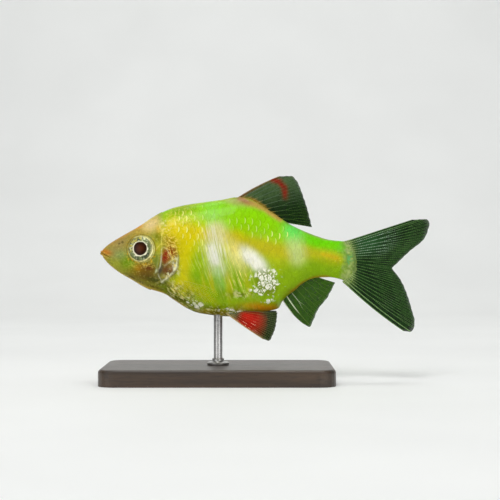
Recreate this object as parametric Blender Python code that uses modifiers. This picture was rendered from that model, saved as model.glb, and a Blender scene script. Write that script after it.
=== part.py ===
"""Tiger barb, green strain, 60 mm long: a still life-size model on a plain display stand.

The fish faces -X and its left side faces -Y. The stand rests on z = 0.
Sizes in the tables are millimetres. A place along the fish is measured back from
the tip of the lower lip, and a height from the level of the mouth.
"""

import math

import bmesh
import bpy
import numpy as np
from mathutils import Matrix, Vector

MM = 0.001

# Placing in the frame
SNOUT_X = -30.0
AXIS_Z = 24.0
GAP = 0.3

# Body: height of the back, height of the belly and half width along the fish
BACK_LINE = [
    (0.0, -0.25), (0.5, 0.3), (1.2, 0.93), (2.2, 1.6), (4.2, 2.8), (6.2, 3.92), (7.7, 4.85),
    (9.2, 5.88), (10.9, 6.88), (12.6, 7.6), (15.5, 8.3), (18.7, 8.77), (21.8, 9.2), (25.2, 9.75),
    (26.6, 9.6), (28.5, 8.75), (30.3, 7.6), (32.7, 6.0), (34.8, 4.65), (37.2, 3.5), (39.5, 2.6),
    (41.8, 1.92), (43.8, 1.7), (47.5, 1.75),
]
BELLY_LINE = [
    (0.0, -0.85), (0.5, -1.55), (1.2, -2.4), (2.2, -3.3), (3.4, -4.2), (5.5, -5.4), (7.7, -6.72),
    (8.8, -7.25), (9.9, -7.57), (11.4, -8.05), (13.3, -9.2), (15.5, -10.6), (17.6, -11.5),
    (20.8, -12.0), (23.4, -12.2), (26.4, -12.05), (29.5, -11.4), (32.5, -10.7), (33.3, -9.3),
    (35.5, -7.4), (36.8, -6.25), (38.1, -5.5), (39.5, -5.13), (41.8, -5.05), (43.4, -5.3),
    (44.8, -6.0), (47.5, -7.7),
]
WIDTH_LINE = [
    (0.0, 0.6), (0.25, 0.95), (0.6, 1.25), (1.2, 1.55), (2.2, 1.9), (4.2, 2.4), (6.2, 2.82),
    (8.0, 3.17), (10.0, 3.5), (12.6, 3.85), (15.5, 4.05), (19.0, 4.1), (24.0, 3.9), (28.5, 3.35),
    (32.5, 2.6), (36.0, 2.0), (40.0, 1.52), (43.5, 1.08), (47.5, 0.5),
]
WIDEST_AT = 0.52
HEAD_FULLNESS = 2.4
TRUNK_FULLNESS = 2.05
HEAD_LENGTH = 13.0
BODY_END = 47.5
BODY_RINGS = 58
BODY_SIDES = 40
EVEN_SPACING = 0.55

# Reach of the cutting blocks, past the fish on every side
CUT_SIDE = 9.0
CUT_FRONT = -4.0
CUT_REAR = 60.0
CUT_TOP = 15.0
CUT_BOTTOM = -18.0

# Parting lines, seen from the side
GILL_EDGE = [
    (10.6, 11.0), (11.0, 7.5), (11.5, 5.1), (12.2, 2.7), (13.6, 1.0), (14.4, -1.1),
    (14.2, -3.0), (13.1, -4.6), (11.2, -6.1), (9.3, -7.05), (8.1, -9.5),
]
CHEEK_EDGE = [(11.45, 4.2), (11.1, 2.2), (11.1, 0.2), (10.75, -2.2), (10.1, -4.2), (9.1, -6.0)]
GILL_COVER_THICK = 1.0
GILL_COVER_PROUD = 0.12
GILL_COVER_TOP = 4.9
GILL_COVER_BOTTOM = -7.0
GILL_COVER_FROM = 6.0
GILL_COVER_TO = 18.0
GILL_COVER_INSIDE = -0.6
TAIL_PARTING = 39.2
TAIL_END_EDGE = [
    (44.7, 3.2), (45.1, 1.7), (46.0, 0.0), (46.4, -2.2), (46.1, -4.4), (45.2, -6.1),
    (44.5, -7.6),
]

# Head
EYE_AT = (7.56, -2.65, 0.2)
EYE_RADIUS = 2.45
EYE_HALF_DEPTH = 1.05
EYE_TURN_FORWARD = math.radians(9)
EYE_TURN_UP = math.radians(6)
NOSTRILS = [(3.45, 1.15, 0.22), (4.0, 1.4, 0.28)]
NOSTRIL_OUT = 0.05
MOUTH_NOTCH = (0.1, -0.53)
MOUTH_CORNER = (1.85, -1.37)
MOUTH_FRONT_GAP = 0.32
MOUTH_BACK_GAP = 0.18
LIP_RADIUS = 0.28
LIP_HALF_WIDTH = 1.72
LIP_SUNK = 0.14
LIP_END_SHARE = 0.7

# Fins
MEMBRANE = 0.5
RAY = 0.8
FIN_EDGE = 0.32
FIN_EDGE_TAPER = 3.2
FIN_SUNK = 0.6
RAY_HALF_SHARE = 0.2

# Stand
BASE_LENGTH = 42.0
BASE_WIDTH = 24.0
BASE_THICK = 3.0
BASE_CORNER = 3.0
BASE_EDGE = 0.6
ROD_RADIUS = 0.8
ROD_X = -8.6
ROD_TOP = 14.0
ROD_HOLE_DEPTH = 1.6

# Colours
HEAD_COLOUR = (0.42, 0.34, 0.12)
TRUNK_COLOUR = (0.4, 0.55, 0.03)
STALK_COLOUR = (0.35, 0.5, 0.04)
GILL_COLOUR = (0.5, 0.3, 0.08)
EYE_COLOUR = (0.6, 0.6, 0.45)
CLEAR_FIN_COLOUR = (0.16, 0.23, 0.15)
RED_FIN_COLOUR = (0.5, 0.04, 0.02)
PALE_FIN_COLOUR = (0.4, 0.42, 0.15)
BASE_COLOUR = (0.09, 0.09, 0.085)
STEEL_COLOUR = (0.6, 0.6, 0.6)


def smooth_line(table):
    """A smooth curve through the table that doesn't overshoot between its points."""
    x = np.array([row[0] for row in table])
    y = np.array([row[1] for row in table])
    step = np.diff(x)
    slope = np.diff(y) / step
    tangent = np.empty_like(y)
    tangent[0] = slope[0]
    tangent[-1] = slope[-1]
    for i in range(1, len(x) - 1):
        if slope[i - 1] * slope[i] <= 0:
            tangent[i] = 0
            continue
        before = 2 * step[i] + step[i - 1]
        after = step[i] + 2 * step[i - 1]
        tangent[i] = (before + after) / (before / slope[i - 1] + after / slope[i])

    def at(value):
        value = np.clip(value, x[0], x[-1])
        i = np.clip(np.searchsorted(x, value) - 1, 0, len(x) - 2)
        t = (value - x[i]) / step[i]
        rise = (3 - 2 * t) * t * t
        bend = t * (1 - t) * step[i]
        return y[i] + (y[i + 1] - y[i]) * rise + bend * (tangent[i] * (1 - t) - tangent[i + 1] * t)

    return at


back_height = smooth_line(BACK_LINE)
belly_height = smooth_line(BELLY_LINE)
half_width = smooth_line(WIDTH_LINE)


def rounded_path(points, count):
    """Evenly numbered points on a smooth path through the given ones."""
    points = np.array(points, float)
    away = np.linalg.norm(np.diff(points, axis=0), axis=1)
    reach = np.concatenate([[0], np.cumsum(away)])
    axes = [smooth_line(list(zip(reach, column))) for column in points.T]
    return np.array([[axis(r) for axis in axes] for r in np.linspace(0, reach[-1], count)])


def shifted_path(points, away):
    """The same path moved to its left by this distance, seen from the side."""
    points = np.array(points, float)
    along = np.gradient(points, axis=0)
    along /= np.linalg.norm(along, axis=1)[:, None]
    return points + away * np.stack([-along[:, 1], along[:, 0]], axis=1)


def place(along, side, height):
    """A point of the fish in the frame, in metres."""
    return Vector(((SNOUT_X + along) * MM, side * MM, (AXIS_Z + height) * MM))


def fullness(along):
    share = min(max(along / HEAD_LENGTH, 0), 1)
    return HEAD_FULLNESS + (TRUNK_FULLNESS - HEAD_FULLNESS) * share * share


def body_point(along, turn, grow=0.0):
    """A point on the body's surface: turn 0 is the back and a quarter turn is the left flank."""
    top = back_height(along) + grow
    bottom = belly_height(along) - grow
    middle = bottom + (top - bottom) * WIDEST_AT
    power = 2 / fullness(along)
    cosine = math.cos(turn)
    sine = math.sin(turn)
    reach = top - middle if cosine > 0 else middle - bottom
    side = (half_width(along) + grow) * math.copysign(abs(sine) ** power, -sine)
    height = middle + reach * math.copysign(abs(cosine) ** power, cosine)
    return along, side, height


def flank(along, height):
    """Half width of the body at this place and height."""
    top = back_height(along)
    bottom = belly_height(along)
    middle = bottom + (top - bottom) * WIDEST_AT
    reach = top - middle if height > middle else middle - bottom
    share = min(abs(height - middle) / reach, 1)
    power = fullness(along)
    return half_width(along) * (1 - share ** power) ** (1 / power)


def paint(obj, colour, roughness, metallic=0.0):
    material = bpy.data.materials.new(obj.name + "_material")
    material.use_nodes = True
    shader = material.node_tree.nodes["Principled BSDF"]
    shader.inputs["Base Color"].default_value = (*colour, 1)
    shader.inputs["Roughness"].default_value = roughness
    shader.inputs["Metallic"].default_value = metallic
    obj.data.materials.clear()
    obj.data.materials.append(material)


def object_from(name, work, collection):
    work.normal_update()
    bmesh.ops.recalc_face_normals(work, faces=work.faces)
    mesh = bpy.data.meshes.new(name)
    work.to_mesh(mesh)
    work.free()
    obj = bpy.data.objects.new(name, mesh)
    collection.objects.link(obj)
    if collection.hide_render:
        obj.display_type = "WIRE"
    return obj


def ring_places():
    """Where the rings of the loft stand, closer together on the head."""
    share = np.linspace(0, 1, BODY_RINGS)
    return BODY_END * (EVEN_SPACING * share + (1 - EVEN_SPACING) * share ** 2)


def body_loft(name, grow, collection, places=None):
    """The whole body from the lips to past the root of the tail fin, or a length of it."""
    work = bmesh.new()
    if places is None:
        places = ring_places()
        places[0] -= grow
    rings = []
    for along in places:
        turns = [2 * math.pi * k / BODY_SIDES for k in range(BODY_SIDES)]
        points = [body_point(along, turn, grow) for turn in turns]
        rings.append([work.verts.new(place(*point)) for point in points])
    for ring, following in zip(rings, rings[1:]):
        for k in range(BODY_SIDES):
            after = (k + 1) % BODY_SIDES
            work.faces.new((ring[k], ring[after], following[after], following[k]))
    work.faces.new(rings[0])
    work.faces.new(rings[-1])
    return object_from(name, work, collection)


def prism(name, outline, collection, near=-CUT_SIDE, far=CUT_SIDE):
    """The side outline carried across from one distance off the middle plane to another."""
    work = bmesh.new()
    face = work.faces.new([work.verts.new(place(a, near, h)) for a, h in outline])
    across = bmesh.ops.extrude_face_region(work, geom=[face])
    moved = [item for item in across["geom"] if isinstance(item, bmesh.types.BMVert)]
    bmesh.ops.translate(work, verts=moved, vec=(0, (far - near) * MM, 0))
    return object_from(name, work, collection)


def apply_modifiers(obj):
    graph = bpy.context.evaluated_depsgraph_get()
    mesh = bpy.data.meshes.new_from_object(obj.evaluated_get(graph))
    obj.modifiers.clear()
    obj.data = mesh


def combine(obj, other, operation, solver="EXACT"):
    """Cuts, joins or keeps the common part, and applies it."""
    step = obj.modifiers.new(operation.title(), "BOOLEAN")
    step.operation = operation
    step.solver = solver
    step.object = other
    apply_modifiers(obj)


def copy_of(obj, name, collection):
    twin = obj.copy()
    twin.data = obj.data.copy()
    twin.name = name
    collection.objects.link(twin)
    return twin


def keep_largest(obj):
    """Drops every loose scrap but the largest closed surface."""
    work = bmesh.new()
    work.from_mesh(obj.data)
    bmesh.ops.remove_doubles(work, verts=work.verts, dist=0.000002)
    left = set(work.verts)
    groups = []
    while left:
        group = {left.pop()}
        front = list(group)
        while front:
            vert = front.pop()
            for edge in vert.link_edges:
                other = edge.other_vert(vert)
                if other in left:
                    left.remove(other)
                    group.add(other)
                    front.append(other)
        groups.append(group)
    groups.sort(key=len)
    for group in groups[:-1]:
        bmesh.ops.delete(work, geom=list(group), context="VERTS")
    work.to_mesh(obj.data)
    work.free()


def face_outward(obj):
    work = bmesh.new()
    work.from_mesh(obj.data)
    bmesh.ops.recalc_face_normals(work, faces=work.faces)
    work.to_mesh(obj.data)
    work.free()


def smooth(obj, angle=35):
    obj.data.shade_smooth()
    obj.data.set_sharp_from_angle(angle=math.radians(angle))


def mirrored(obj, name, collection):
    """The same piece on the other side of the middle plane."""
    work = bmesh.new()
    work.from_mesh(obj.data)
    work.transform(Matrix.Scale(-1, 4, (0, 1, 0)))
    bmesh.ops.reverse_faces(work, faces=work.faces)
    mesh = bpy.data.meshes.new(name)
    work.to_mesh(mesh)
    work.free()
    twin = bpy.data.objects.new(name, mesh)
    collection.objects.link(twin)
    twin.data.materials.append(obj.data.materials[0])
    return twin


def gill_line(shift=0.0):
    return shifted_path(rounded_path(GILL_EDGE, 34), shift)


def head_region(shift):
    """Everything in front of the gill edge."""
    line = gill_line(shift)
    return [(CUT_FRONT, line[0][1]), *map(tuple, line), (CUT_FRONT, line[-1][1])]


def tail_end_region(shift):
    """Everything in front of the root of the tail fin."""
    line = shifted_path(rounded_path(TAIL_END_EDGE, 16), shift)
    return [
        (CUT_FRONT, CUT_TOP), (line[0][0], CUT_TOP), *map(tuple, line), (line[-1][0], CUT_BOTTOM),
        (CUT_FRONT, CUT_BOTTOM),
    ]


def block_outline(front, rear):
    """A rectangle seen from the side, from above the fish to below it."""
    return [(front, CUT_TOP), (front, CUT_BOTTOM), (rear, CUT_BOTTOM), (rear, CUT_TOP)]


def gill_cover_region(shift):
    """The plate between the rear edge of the cheek and the gill edge."""
    front = shifted_path(rounded_path(CHEEK_EDGE, 14), -shift)
    low = GILL_COVER_BOTTOM - shift
    high = GILL_COVER_TOP + shift
    rear = [tuple(point) for point in gill_line(shift - GAP / 2) if low < point[1] < high]
    return [*map(tuple, front[::-1]), *rear]


def make_body(parts, cutters):
    """Head, trunk and tail stalk, parted from one loft by thin cuts."""
    whole = body_loft("whole", 0, cutters)
    combine(whole, prism("tail_end", tail_end_region(0), cutters), "INTERSECT")

    head = copy_of(whole, "head", parts)
    combine(head, prism("head_side", head_region(-GAP / 2), cutters), "INTERSECT")

    trunk = copy_of(whole, "trunk", parts)
    combine(trunk, prism("trunk_front", head_region(GAP / 2), cutters), "DIFFERENCE")
    block = prism("trunk_rear", block_outline(TAIL_PARTING - GAP / 2, CUT_REAR), cutters)
    combine(trunk, block, "DIFFERENCE")

    stalk = copy_of(whole, "tail_stalk", parts)
    block = prism("stalk_front", block_outline(TAIL_PARTING + GAP / 2, CUT_FRONT), cutters)
    combine(stalk, block, "DIFFERENCE")
    return head, trunk, stalk


def make_gill_covers(head, parts, cutters):
    """A plate on each side that lies in a recess of the head, its rear edge on the gill edge."""
    inner = [along for along in ring_places() if GILL_COVER_FROM < along < GILL_COVER_TO]
    sides = GILL_COVER_INSIDE, -CUT_SIDE
    plate = body_loft("gill_cover_left", GILL_COVER_PROUD, parts)
    outline = prism("cover_outline", gill_cover_region(0), cutters, *sides)
    combine(plate, outline, "INTERSECT")
    combine(plate, body_loft("cover_inside", -GILL_COVER_THICK, cutters, inner), "DIFFERENCE")
    keep_largest(plate)

    recess = prism("recess_left", gill_cover_region(GAP), cutters, *sides)
    combine(recess, body_loft("recess_floor", -GILL_COVER_THICK - GAP, cutters, inner), "DIFFERENCE")
    combine(head, recess, "DIFFERENCE")
    combine(head, mirrored_cutter(recess, "recess_right", cutters), "DIFFERENCE")
    smooth(plate)
    paint(plate, GILL_COLOUR, 0.35)
    mirrored(plate, "gill_cover_right", parts)


def mirrored_cutter(obj, name, cutters):
    obj.data.materials.append(bpy.data.materials.new(name))
    twin = mirrored(obj, name, cutters)
    twin.display_type = "WIRE"
    return twin


def eyeball(name, grow, side, collection):
    """A flattened ball whose flat side follows the cheek."""
    work = bmesh.new()
    bmesh.ops.create_uvsphere(work, u_segments=26, v_segments=12, radius=1)
    size = Matrix.Diagonal((EYE_RADIUS + grow, EYE_RADIUS + grow, EYE_HALF_DEPTH + grow, 1))
    face_out = Matrix.Rotation(math.radians(90), 4, "X")
    turn = Matrix.Rotation(-EYE_TURN_FORWARD, 4, "Z") @ Matrix.Rotation(-EYE_TURN_UP, 4, "X")
    work.transform(Matrix.Scale(MM, 4) @ turn @ face_out @ size)
    along, offset, height = EYE_AT
    work.transform(Matrix.Translation(place(along, offset, height)))
    if side > 0:
        work.transform(Matrix.Scale(-1, 4, (0, 1, 0)))
    return object_from(name, work, collection)


def make_eyes(head, parts, cutters):
    for name, side in (("left", -1), ("right", 1)):
        combine(head, eyeball("socket_" + name, GAP, side, cutters), "DIFFERENCE")
        eye = eyeball("eye_" + name, 0, side, parts)
        smooth(eye)
        paint(eye, EYE_COLOUR, 0.12)


def cut_nostrils(head, cutters):
    """Two small openings on each side, in front of the eye."""
    for number, (along, height, radius) in enumerate(NOSTRILS):
        for side in (-1, 1):
            work = bmesh.new()
            bmesh.ops.create_uvsphere(work, u_segments=12, v_segments=8, radius=radius * MM)
            where = place(along, side * (flank(along, height) + NOSTRIL_OUT), height)
            work.transform(Matrix.Translation(where))
            pit = object_from(f"nostril_{number}_{side}", work, cutters)
            combine(head, pit, "DIFFERENCE")


def mouth_line(along):
    """Height of the line between the jaws."""
    slope = (MOUTH_CORNER[1] - MOUTH_NOTCH[1]) / (MOUTH_CORNER[0] - MOUTH_NOTCH[0])
    return MOUTH_NOTCH[1] + slope * (along - MOUTH_NOTCH[0])


def lip_path(up):
    """Along the edge of a jaw, from one corner of the mouth round the front to the other."""
    reach = np.linspace(0, MOUTH_CORNER[0] + 0.2, 60)
    widths = [flank(along, mouth_line(along)) for along in reach]
    points = []
    for share in np.linspace(-1, 1, 15):
        side = share * LIP_HALF_WIDTH
        along = float(np.interp(abs(side), widths, reach))
        along += LIP_SUNK * (1 - abs(share) ** 3)
        side *= 1 - LIP_SUNK / LIP_HALF_WIDTH
        points.append(place(along, side, mouth_line(along) + up))
    return points


def lip(name, up, cutters):
    """A rounded rim along the edge of a jaw."""
    line = bpy.data.curves.new(name, "CURVE")
    line.dimensions = "3D"
    line.bevel_depth = LIP_RADIUS * MM
    line.bevel_resolution = 2
    line.use_fill_caps = True
    path = lip_path(up)
    spline = line.splines.new("POLY")
    spline.points.add(len(path) - 1)
    for point, where in zip(spline.points, path):
        point.co = (*where, 1)
    spline.points[0].radius = LIP_END_SHARE
    spline.points[-1].radius = LIP_END_SHARE
    guide = bpy.data.objects.new(name + "_line", line)
    cutters.objects.link(guide)
    graph = bpy.context.evaluated_depsgraph_get()
    work = bmesh.new()
    work.from_mesh(bpy.data.meshes.new_from_object(guide.evaluated_get(graph)))
    bmesh.ops.remove_doubles(work, verts=work.verts, dist=0.00001)
    bpy.data.objects.remove(guide)
    return object_from(name, work, cutters)


def make_mouth(head, cutters):
    """Two lips and the narrow opening between the jaws."""
    combine(head, lip("upper_lip", LIP_RADIUS, cutters), "UNION")
    combine(head, lip("lower_lip", -LIP_RADIUS, cutters), "UNION")
    front = mouth_line(-2)
    outline = [
        (-2, front + MOUTH_FRONT_GAP / 2),
        (MOUTH_CORNER[0], MOUTH_CORNER[1] + MOUTH_BACK_GAP / 2),
        (MOUTH_CORNER[0], MOUTH_CORNER[1] - MOUTH_BACK_GAP / 2),
        (-2, front - MOUTH_FRONT_GAP / 2),
    ]
    combine(head, prism("mouth_opening", outline, cutters), "DIFFERENCE")


def fin_surface(name, roots, tips, rays, rows, bow, collection, cup=0.0):
    """An open surface of rays that run from the root line to the tip line.

    bow moves the middle of the first ray outward in the plane of the fin, and cup
    curves the fin across its plane.
    """
    columns = [0.0]
    for k in range(rays):
        centre = k / (rays - 1)
        half_ray = RAY_HALF_SHARE / (rays - 1)
        columns += [centre - half_ray, centre, centre + half_ray]
    columns = sorted(set(min(max(c, 0), 1) for c in columns))
    root_line = rounded_path(roots, 101)
    tip_line = rounded_path(tips, 101)
    work = bmesh.new()
    grid = []
    heavy = []
    for u in columns:
        root = np.array([np.interp(u * 100, range(101), axis) for axis in root_line.T])
        tip = np.array([np.interp(u * 100, range(101), axis) for axis in tip_line.T])
        ray = tip - root
        across = np.array([ray[2], 0, -ray[0]]) / np.linalg.norm(ray)
        on_ray = u < 1 and abs(u * (rays - 1) - round(u * (rays - 1))) < 0.01
        thick = RAY if on_ray else MEMBRANE
        line = []
        for v in np.linspace(0, 1, rows):
            arch = 4 * v * (1 - v)
            point = root + ray * v + across * bow * arch * (1 - u) ** 2
            point[1] += cup * arch
            line.append(work.verts.new(place(*point)))
            heavy.append(FIN_EDGE + (thick - FIN_EDGE) * min(1, FIN_EDGE_TAPER * (1 - v)))
        grid.append(line)
    for line, following in zip(grid, grid[1:]):
        for k in range(rows - 1):
            work.faces.new((line[k], line[k + 1], following[k + 1], following[k]))
    bmesh.ops.triangulate(work, faces=work.faces)
    obj = object_from(name, work, collection)
    group = obj.vertex_groups.new(name="thickness")
    for index, thick in enumerate(heavy):
        group.add([index], thick / RAY, "REPLACE")
    shell = obj.modifiers.new("Thickness", "SOLIDIFY")
    shell.thickness = RAY * MM
    shell.offset = 0
    shell.vertex_group = "thickness"
    apply_modifiers(obj)
    face_outward(obj)
    return obj


def flat(points):
    """Points of a side outline in the middle plane."""
    return [(along, 0.0, height) for along, height in points]


def sunk_line(first, last, surface, inward):
    """The root line from the first place to the last, less deep towards its rear end."""
    start, height = first
    deep = (height - float(surface(start))) * inward
    line = []
    for share in np.linspace(0, 1, 9):
        along = start + (last - start) * share
        depth = deep + (FIN_SUNK - deep) * share
        line.append((along, 0.0, float(surface(along)) + inward * depth))
    return line


def trim(fin, clearance, colour, roughness=0.3):
    """Cuts the root to the surface that the fin grows from."""
    combine(fin, clearance, "DIFFERENCE", "MANIFOLD")
    keep_largest(fin)
    smooth(fin, 25)
    paint(fin, colour, roughness)


def make_dorsal_fin(parts, clearance):
    tips = flat([
        (32.7, 13.5), (34.8, 13.55), (35.7, 12.85), (36.6, 10.9), (37.4, 8.7), (38.0, 6.6),
        (38.6, 4.2),
    ])
    roots = sunk_line((24.0, 8.85), 33.0, back_height, -1)
    fin = fin_surface("dorsal_fin", roots, tips, 11, 8, -0.3, parts)
    trim(fin, clearance, CLEAR_FIN_COLOUR)


def make_anal_fin(parts, clearance):
    tips = flat([
        (37.2, -13.6), (38.1, -14.1), (38.8, -12.95), (39.7, -10.9), (41.5, -8.6), (42.8, -6.0),
    ])
    roots = sunk_line((32.7, -8.05), 38.6, belly_height, 1)
    fin = fin_surface("anal_fin", roots, tips, 8, 8, 0.45, parts)
    trim(fin, clearance, CLEAR_FIN_COLOUR)


def make_tail_fin(parts, clearance):
    """Two lobes with a fork between them, parted along the middle ray."""
    upper_tips = flat([
        (57.0, 5.55), (59.4, 5.65), (60.1, 4.95), (59.8, 3.6), (59.2, 2.2), (56.5, -0.2),
        (53.25, -3.1),
    ])
    upper_roots = flat([(44.5, 1.45), (45.2, 0.2), (45.5, -2.0)])
    upper = fin_surface("tail_fin_upper", upper_roots, upper_tips, 10, 9, 0.0, parts)
    trim(upper, clearance, CLEAR_FIN_COLOUR)
    lower_tips = flat([
        (55.4, -14.85), (56.5, -15.0), (57.2, -14.4), (57.4, -13.1), (56.9, -11.1),
        (56.3, -9.0), (55.0, -5.8), (53.35, -3.55),
    ])
    lower_roots = flat([(44.2, -5.7), (45.2, -4.6), (45.5, -2.35)])
    lower = fin_surface("tail_fin_lower", lower_roots, lower_tips, 10, 9, 0.35, parts)
    trim(lower, clearance, CLEAR_FIN_COLOUR)


def make_pelvic_fins(parts, clearance):
    roots = [(22.8, -1.0, -11.4), (24.1, -1.1, -11.3), (25.4, -1.1, -11.1)]
    tips = [
        (29.7, -3.3, -16.1), (30.7, -3.5, -16.4), (31.3, -3.5, -15.5), (32.0, -3.6, -13.2),
        (32.2, -3.3, -11.3),
    ]
    fin = fin_surface("pelvic_fin_left", roots, tips, 8, 7, 0.1, parts, cup=-0.25)
    trim(fin, clearance, RED_FIN_COLOUR)
    mirrored(fin, "pelvic_fin_right", parts)


def make_pectoral_fins(parts, clearance):
    roots = [(13.8, -2.6, -5.3), (13.7, -2.5, -5.9), (13.5, -2.3, -6.5)]
    tips = [
        (20.9, -5.6, -7.1), (21.6, -5.6, -7.9), (21.0, -5.3, -9.1), (19.4, -4.9, -9.8),
        (17.2, -4.3, -9.9),
    ]
    fin = fin_surface("pectoral_fin_left", roots, tips, 9, 6, -0.2, parts, cup=-0.3)
    trim(fin, clearance, PALE_FIN_COLOUR)
    mirrored(fin, "pectoral_fin_right", parts)


def make_fins(parts, cutters):
    clearance = body_loft("clearance", GAP, cutters)
    combine(clearance, prism("clear_tail_end", tail_end_region(GAP), cutters), "INTERSECT")
    make_dorsal_fin(parts, clearance)
    make_anal_fin(parts, clearance)
    make_tail_fin(parts, clearance)
    make_pelvic_fins(parts, clearance)
    make_pectoral_fins(parts, clearance)
    return clearance


def make_base(parts, cutters):
    """A flat plate with rounded corners, softened edges and a hole for the rod."""
    work = bmesh.new()
    bmesh.ops.create_cube(work, size=1)
    work.transform(Matrix.Diagonal((BASE_LENGTH * MM, BASE_WIDTH * MM, BASE_THICK * MM, 1)))
    corners = [edge for edge in work.edges if abs(edge.verts[0].co.z - edge.verts[1].co.z) > MM]
    bmesh.ops.bevel(
        work, geom=corners, offset=BASE_CORNER * MM, offset_type="OFFSET", segments=6, profile=0.5,
        affect="EDGES",
    )
    top = [edge for edge in work.edges if all(vert.co.z > MM for vert in edge.verts)]
    bmesh.ops.bevel(
        work, geom=top, offset=BASE_EDGE * MM, offset_type="OFFSET", segments=3, profile=0.5,
        affect="EDGES",
    )
    base = object_from("stand_base", work, parts)
    base.location = (ROD_X * MM, 0, BASE_THICK / 2 * MM)
    work = bmesh.new()
    bmesh.ops.create_cone(
        work, cap_ends=True, segments=24, radius1=(ROD_RADIUS + GAP) * MM,
        radius2=(ROD_RADIUS + GAP) * MM, depth=2 * ROD_HOLE_DEPTH * MM,
    )
    hole = object_from("rod_hole", work, cutters)
    hole.location = (ROD_X * MM, 0, BASE_THICK * MM)
    bpy.context.view_layer.update()
    combine(base, hole, "DIFFERENCE")
    smooth(base)
    paint(base, BASE_COLOUR, 0.4)


def make_rod(parts, clearance):
    """A thin round rod from the base up to the belly, its top fitted to the belly."""
    foot = BASE_THICK - ROD_HOLE_DEPTH + GAP
    work = bmesh.new()
    bmesh.ops.create_cone(
        work, cap_ends=True, segments=24, radius1=ROD_RADIUS * MM, radius2=ROD_RADIUS * MM,
        depth=(ROD_TOP - foot) * MM,
    )
    rod = object_from("stand_rod", work, parts)
    rod.location = (ROD_X * MM, 0, (foot + ROD_TOP) / 2 * MM)
    bpy.context.view_layer.update()
    combine(rod, clearance, "DIFFERENCE")
    smooth(rod)
    paint(rod, STEEL_COLOUR, 0.25, 1.0)


def main():
    for old in list(bpy.data.objects):
        bpy.data.objects.remove(old)
    parts = bpy.data.collections.new("tiger_barb")
    cutters = bpy.data.collections.new("cutters")
    cutters.hide_render = True
    bpy.context.scene.collection.children.link(parts)
    bpy.context.scene.collection.children.link(cutters)

    head, trunk, stalk = make_body(parts, cutters)
    make_gill_covers(head, parts, cutters)
    make_mouth(head, cutters)
    cut_nostrils(head, cutters)
    make_eyes(head, parts, cutters)
    for piece, colour in ((head, HEAD_COLOUR), (trunk, TRUNK_COLOUR), (stalk, STALK_COLOUR)):
        keep_largest(piece)
        smooth(piece)
        paint(piece, colour, 0.35)
    clearance = make_fins(parts, cutters)
    make_base(parts, cutters)
    make_rod(parts, clearance)


main()
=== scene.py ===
"""Tiger barb, green strain, as a life-size model on a plain stand: skin, scales, fins and eyes.

Sizes in the tables are millimetres. A place along the fish is measured back from the
tip of the lower lip, and a height from the level of the mouth. The fish faces -X and
its left side faces -Y.
"""

import itertools
import math

import bmesh
import bpy
import numpy as np
from mathutils import Matrix, Vector

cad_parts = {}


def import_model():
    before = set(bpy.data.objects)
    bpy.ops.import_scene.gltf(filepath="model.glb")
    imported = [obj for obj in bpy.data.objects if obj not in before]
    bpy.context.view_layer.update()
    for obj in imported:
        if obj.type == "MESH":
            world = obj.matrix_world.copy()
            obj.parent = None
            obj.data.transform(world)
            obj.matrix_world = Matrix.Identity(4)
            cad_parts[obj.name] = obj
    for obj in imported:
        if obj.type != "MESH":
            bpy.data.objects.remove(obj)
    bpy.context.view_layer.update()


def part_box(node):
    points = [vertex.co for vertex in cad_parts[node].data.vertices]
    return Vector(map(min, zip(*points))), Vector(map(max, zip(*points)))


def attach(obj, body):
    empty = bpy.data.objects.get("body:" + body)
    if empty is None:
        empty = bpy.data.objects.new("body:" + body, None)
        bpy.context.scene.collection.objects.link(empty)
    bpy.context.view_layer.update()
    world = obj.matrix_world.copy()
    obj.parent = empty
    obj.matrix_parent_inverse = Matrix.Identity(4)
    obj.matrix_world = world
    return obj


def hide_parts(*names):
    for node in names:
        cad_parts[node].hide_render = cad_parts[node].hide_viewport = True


MM = 0.001

# Placing in the frame
SNOUT_X = -30.0
AXIS_Z = 24.0

# Body: height of the back, height of the belly and half width along the fish
BACK_LINE = [
    (0.0, -0.25), (0.5, 0.3), (1.2, 0.93), (2.2, 1.6), (4.2, 2.8), (6.2, 3.92), (7.7, 4.85),
    (9.2, 5.88), (10.9, 6.88), (12.6, 7.6), (15.5, 8.3), (18.7, 8.77), (21.8, 9.2), (25.2, 9.75),
    (26.6, 9.6), (28.5, 8.75), (30.3, 7.6), (32.7, 6.0), (34.8, 4.65), (37.2, 3.5), (39.5, 2.6),
    (41.8, 1.92), (43.8, 1.7), (47.5, 1.5),
]
BELLY_LINE = [
    (0.0, -0.85), (0.5, -1.55), (1.2, -2.4), (2.2, -3.3), (3.4, -4.2), (5.5, -5.4), (7.7, -6.72),
    (8.8, -7.25), (9.9, -7.57), (11.4, -8.05), (13.3, -9.2), (15.5, -10.6), (17.6, -11.5),
    (20.8, -12.0), (23.4, -12.2), (26.4, -12.05), (29.5, -11.4), (32.5, -10.7), (33.3, -9.3),
    (35.5, -7.4), (36.8, -6.25), (38.1, -5.5), (39.5, -5.13), (41.8, -5.05), (43.4, -5.3),
    (44.8, -5.75), (47.5, -6.4),
]
WIDTH_LINE = [
    (0.0, 0.6), (0.25, 0.95), (0.6, 1.25), (1.2, 1.55), (2.2, 1.9), (4.2, 2.4), (6.2, 2.82),
    (8.0, 3.17), (10.0, 3.5), (12.6, 3.85), (15.5, 4.05), (19.0, 4.1), (24.0, 3.9), (28.5, 3.35),
    (32.5, 2.6), (36.0, 2.0), (40.0, 1.5), (42.4, 1.06), (44.0, 0.64),
    (45.2, 0.33), (46.2, 0.18), (47.5, 0.16),
]
WIDEST_AT = 0.52
HEAD_FULLNESS = 2.4
TRUNK_FULLNESS = 2.05
HEAD_LENGTH = 13.0
FLESH_END = 45.8
TAIL_BEND_START = 38.0
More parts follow.
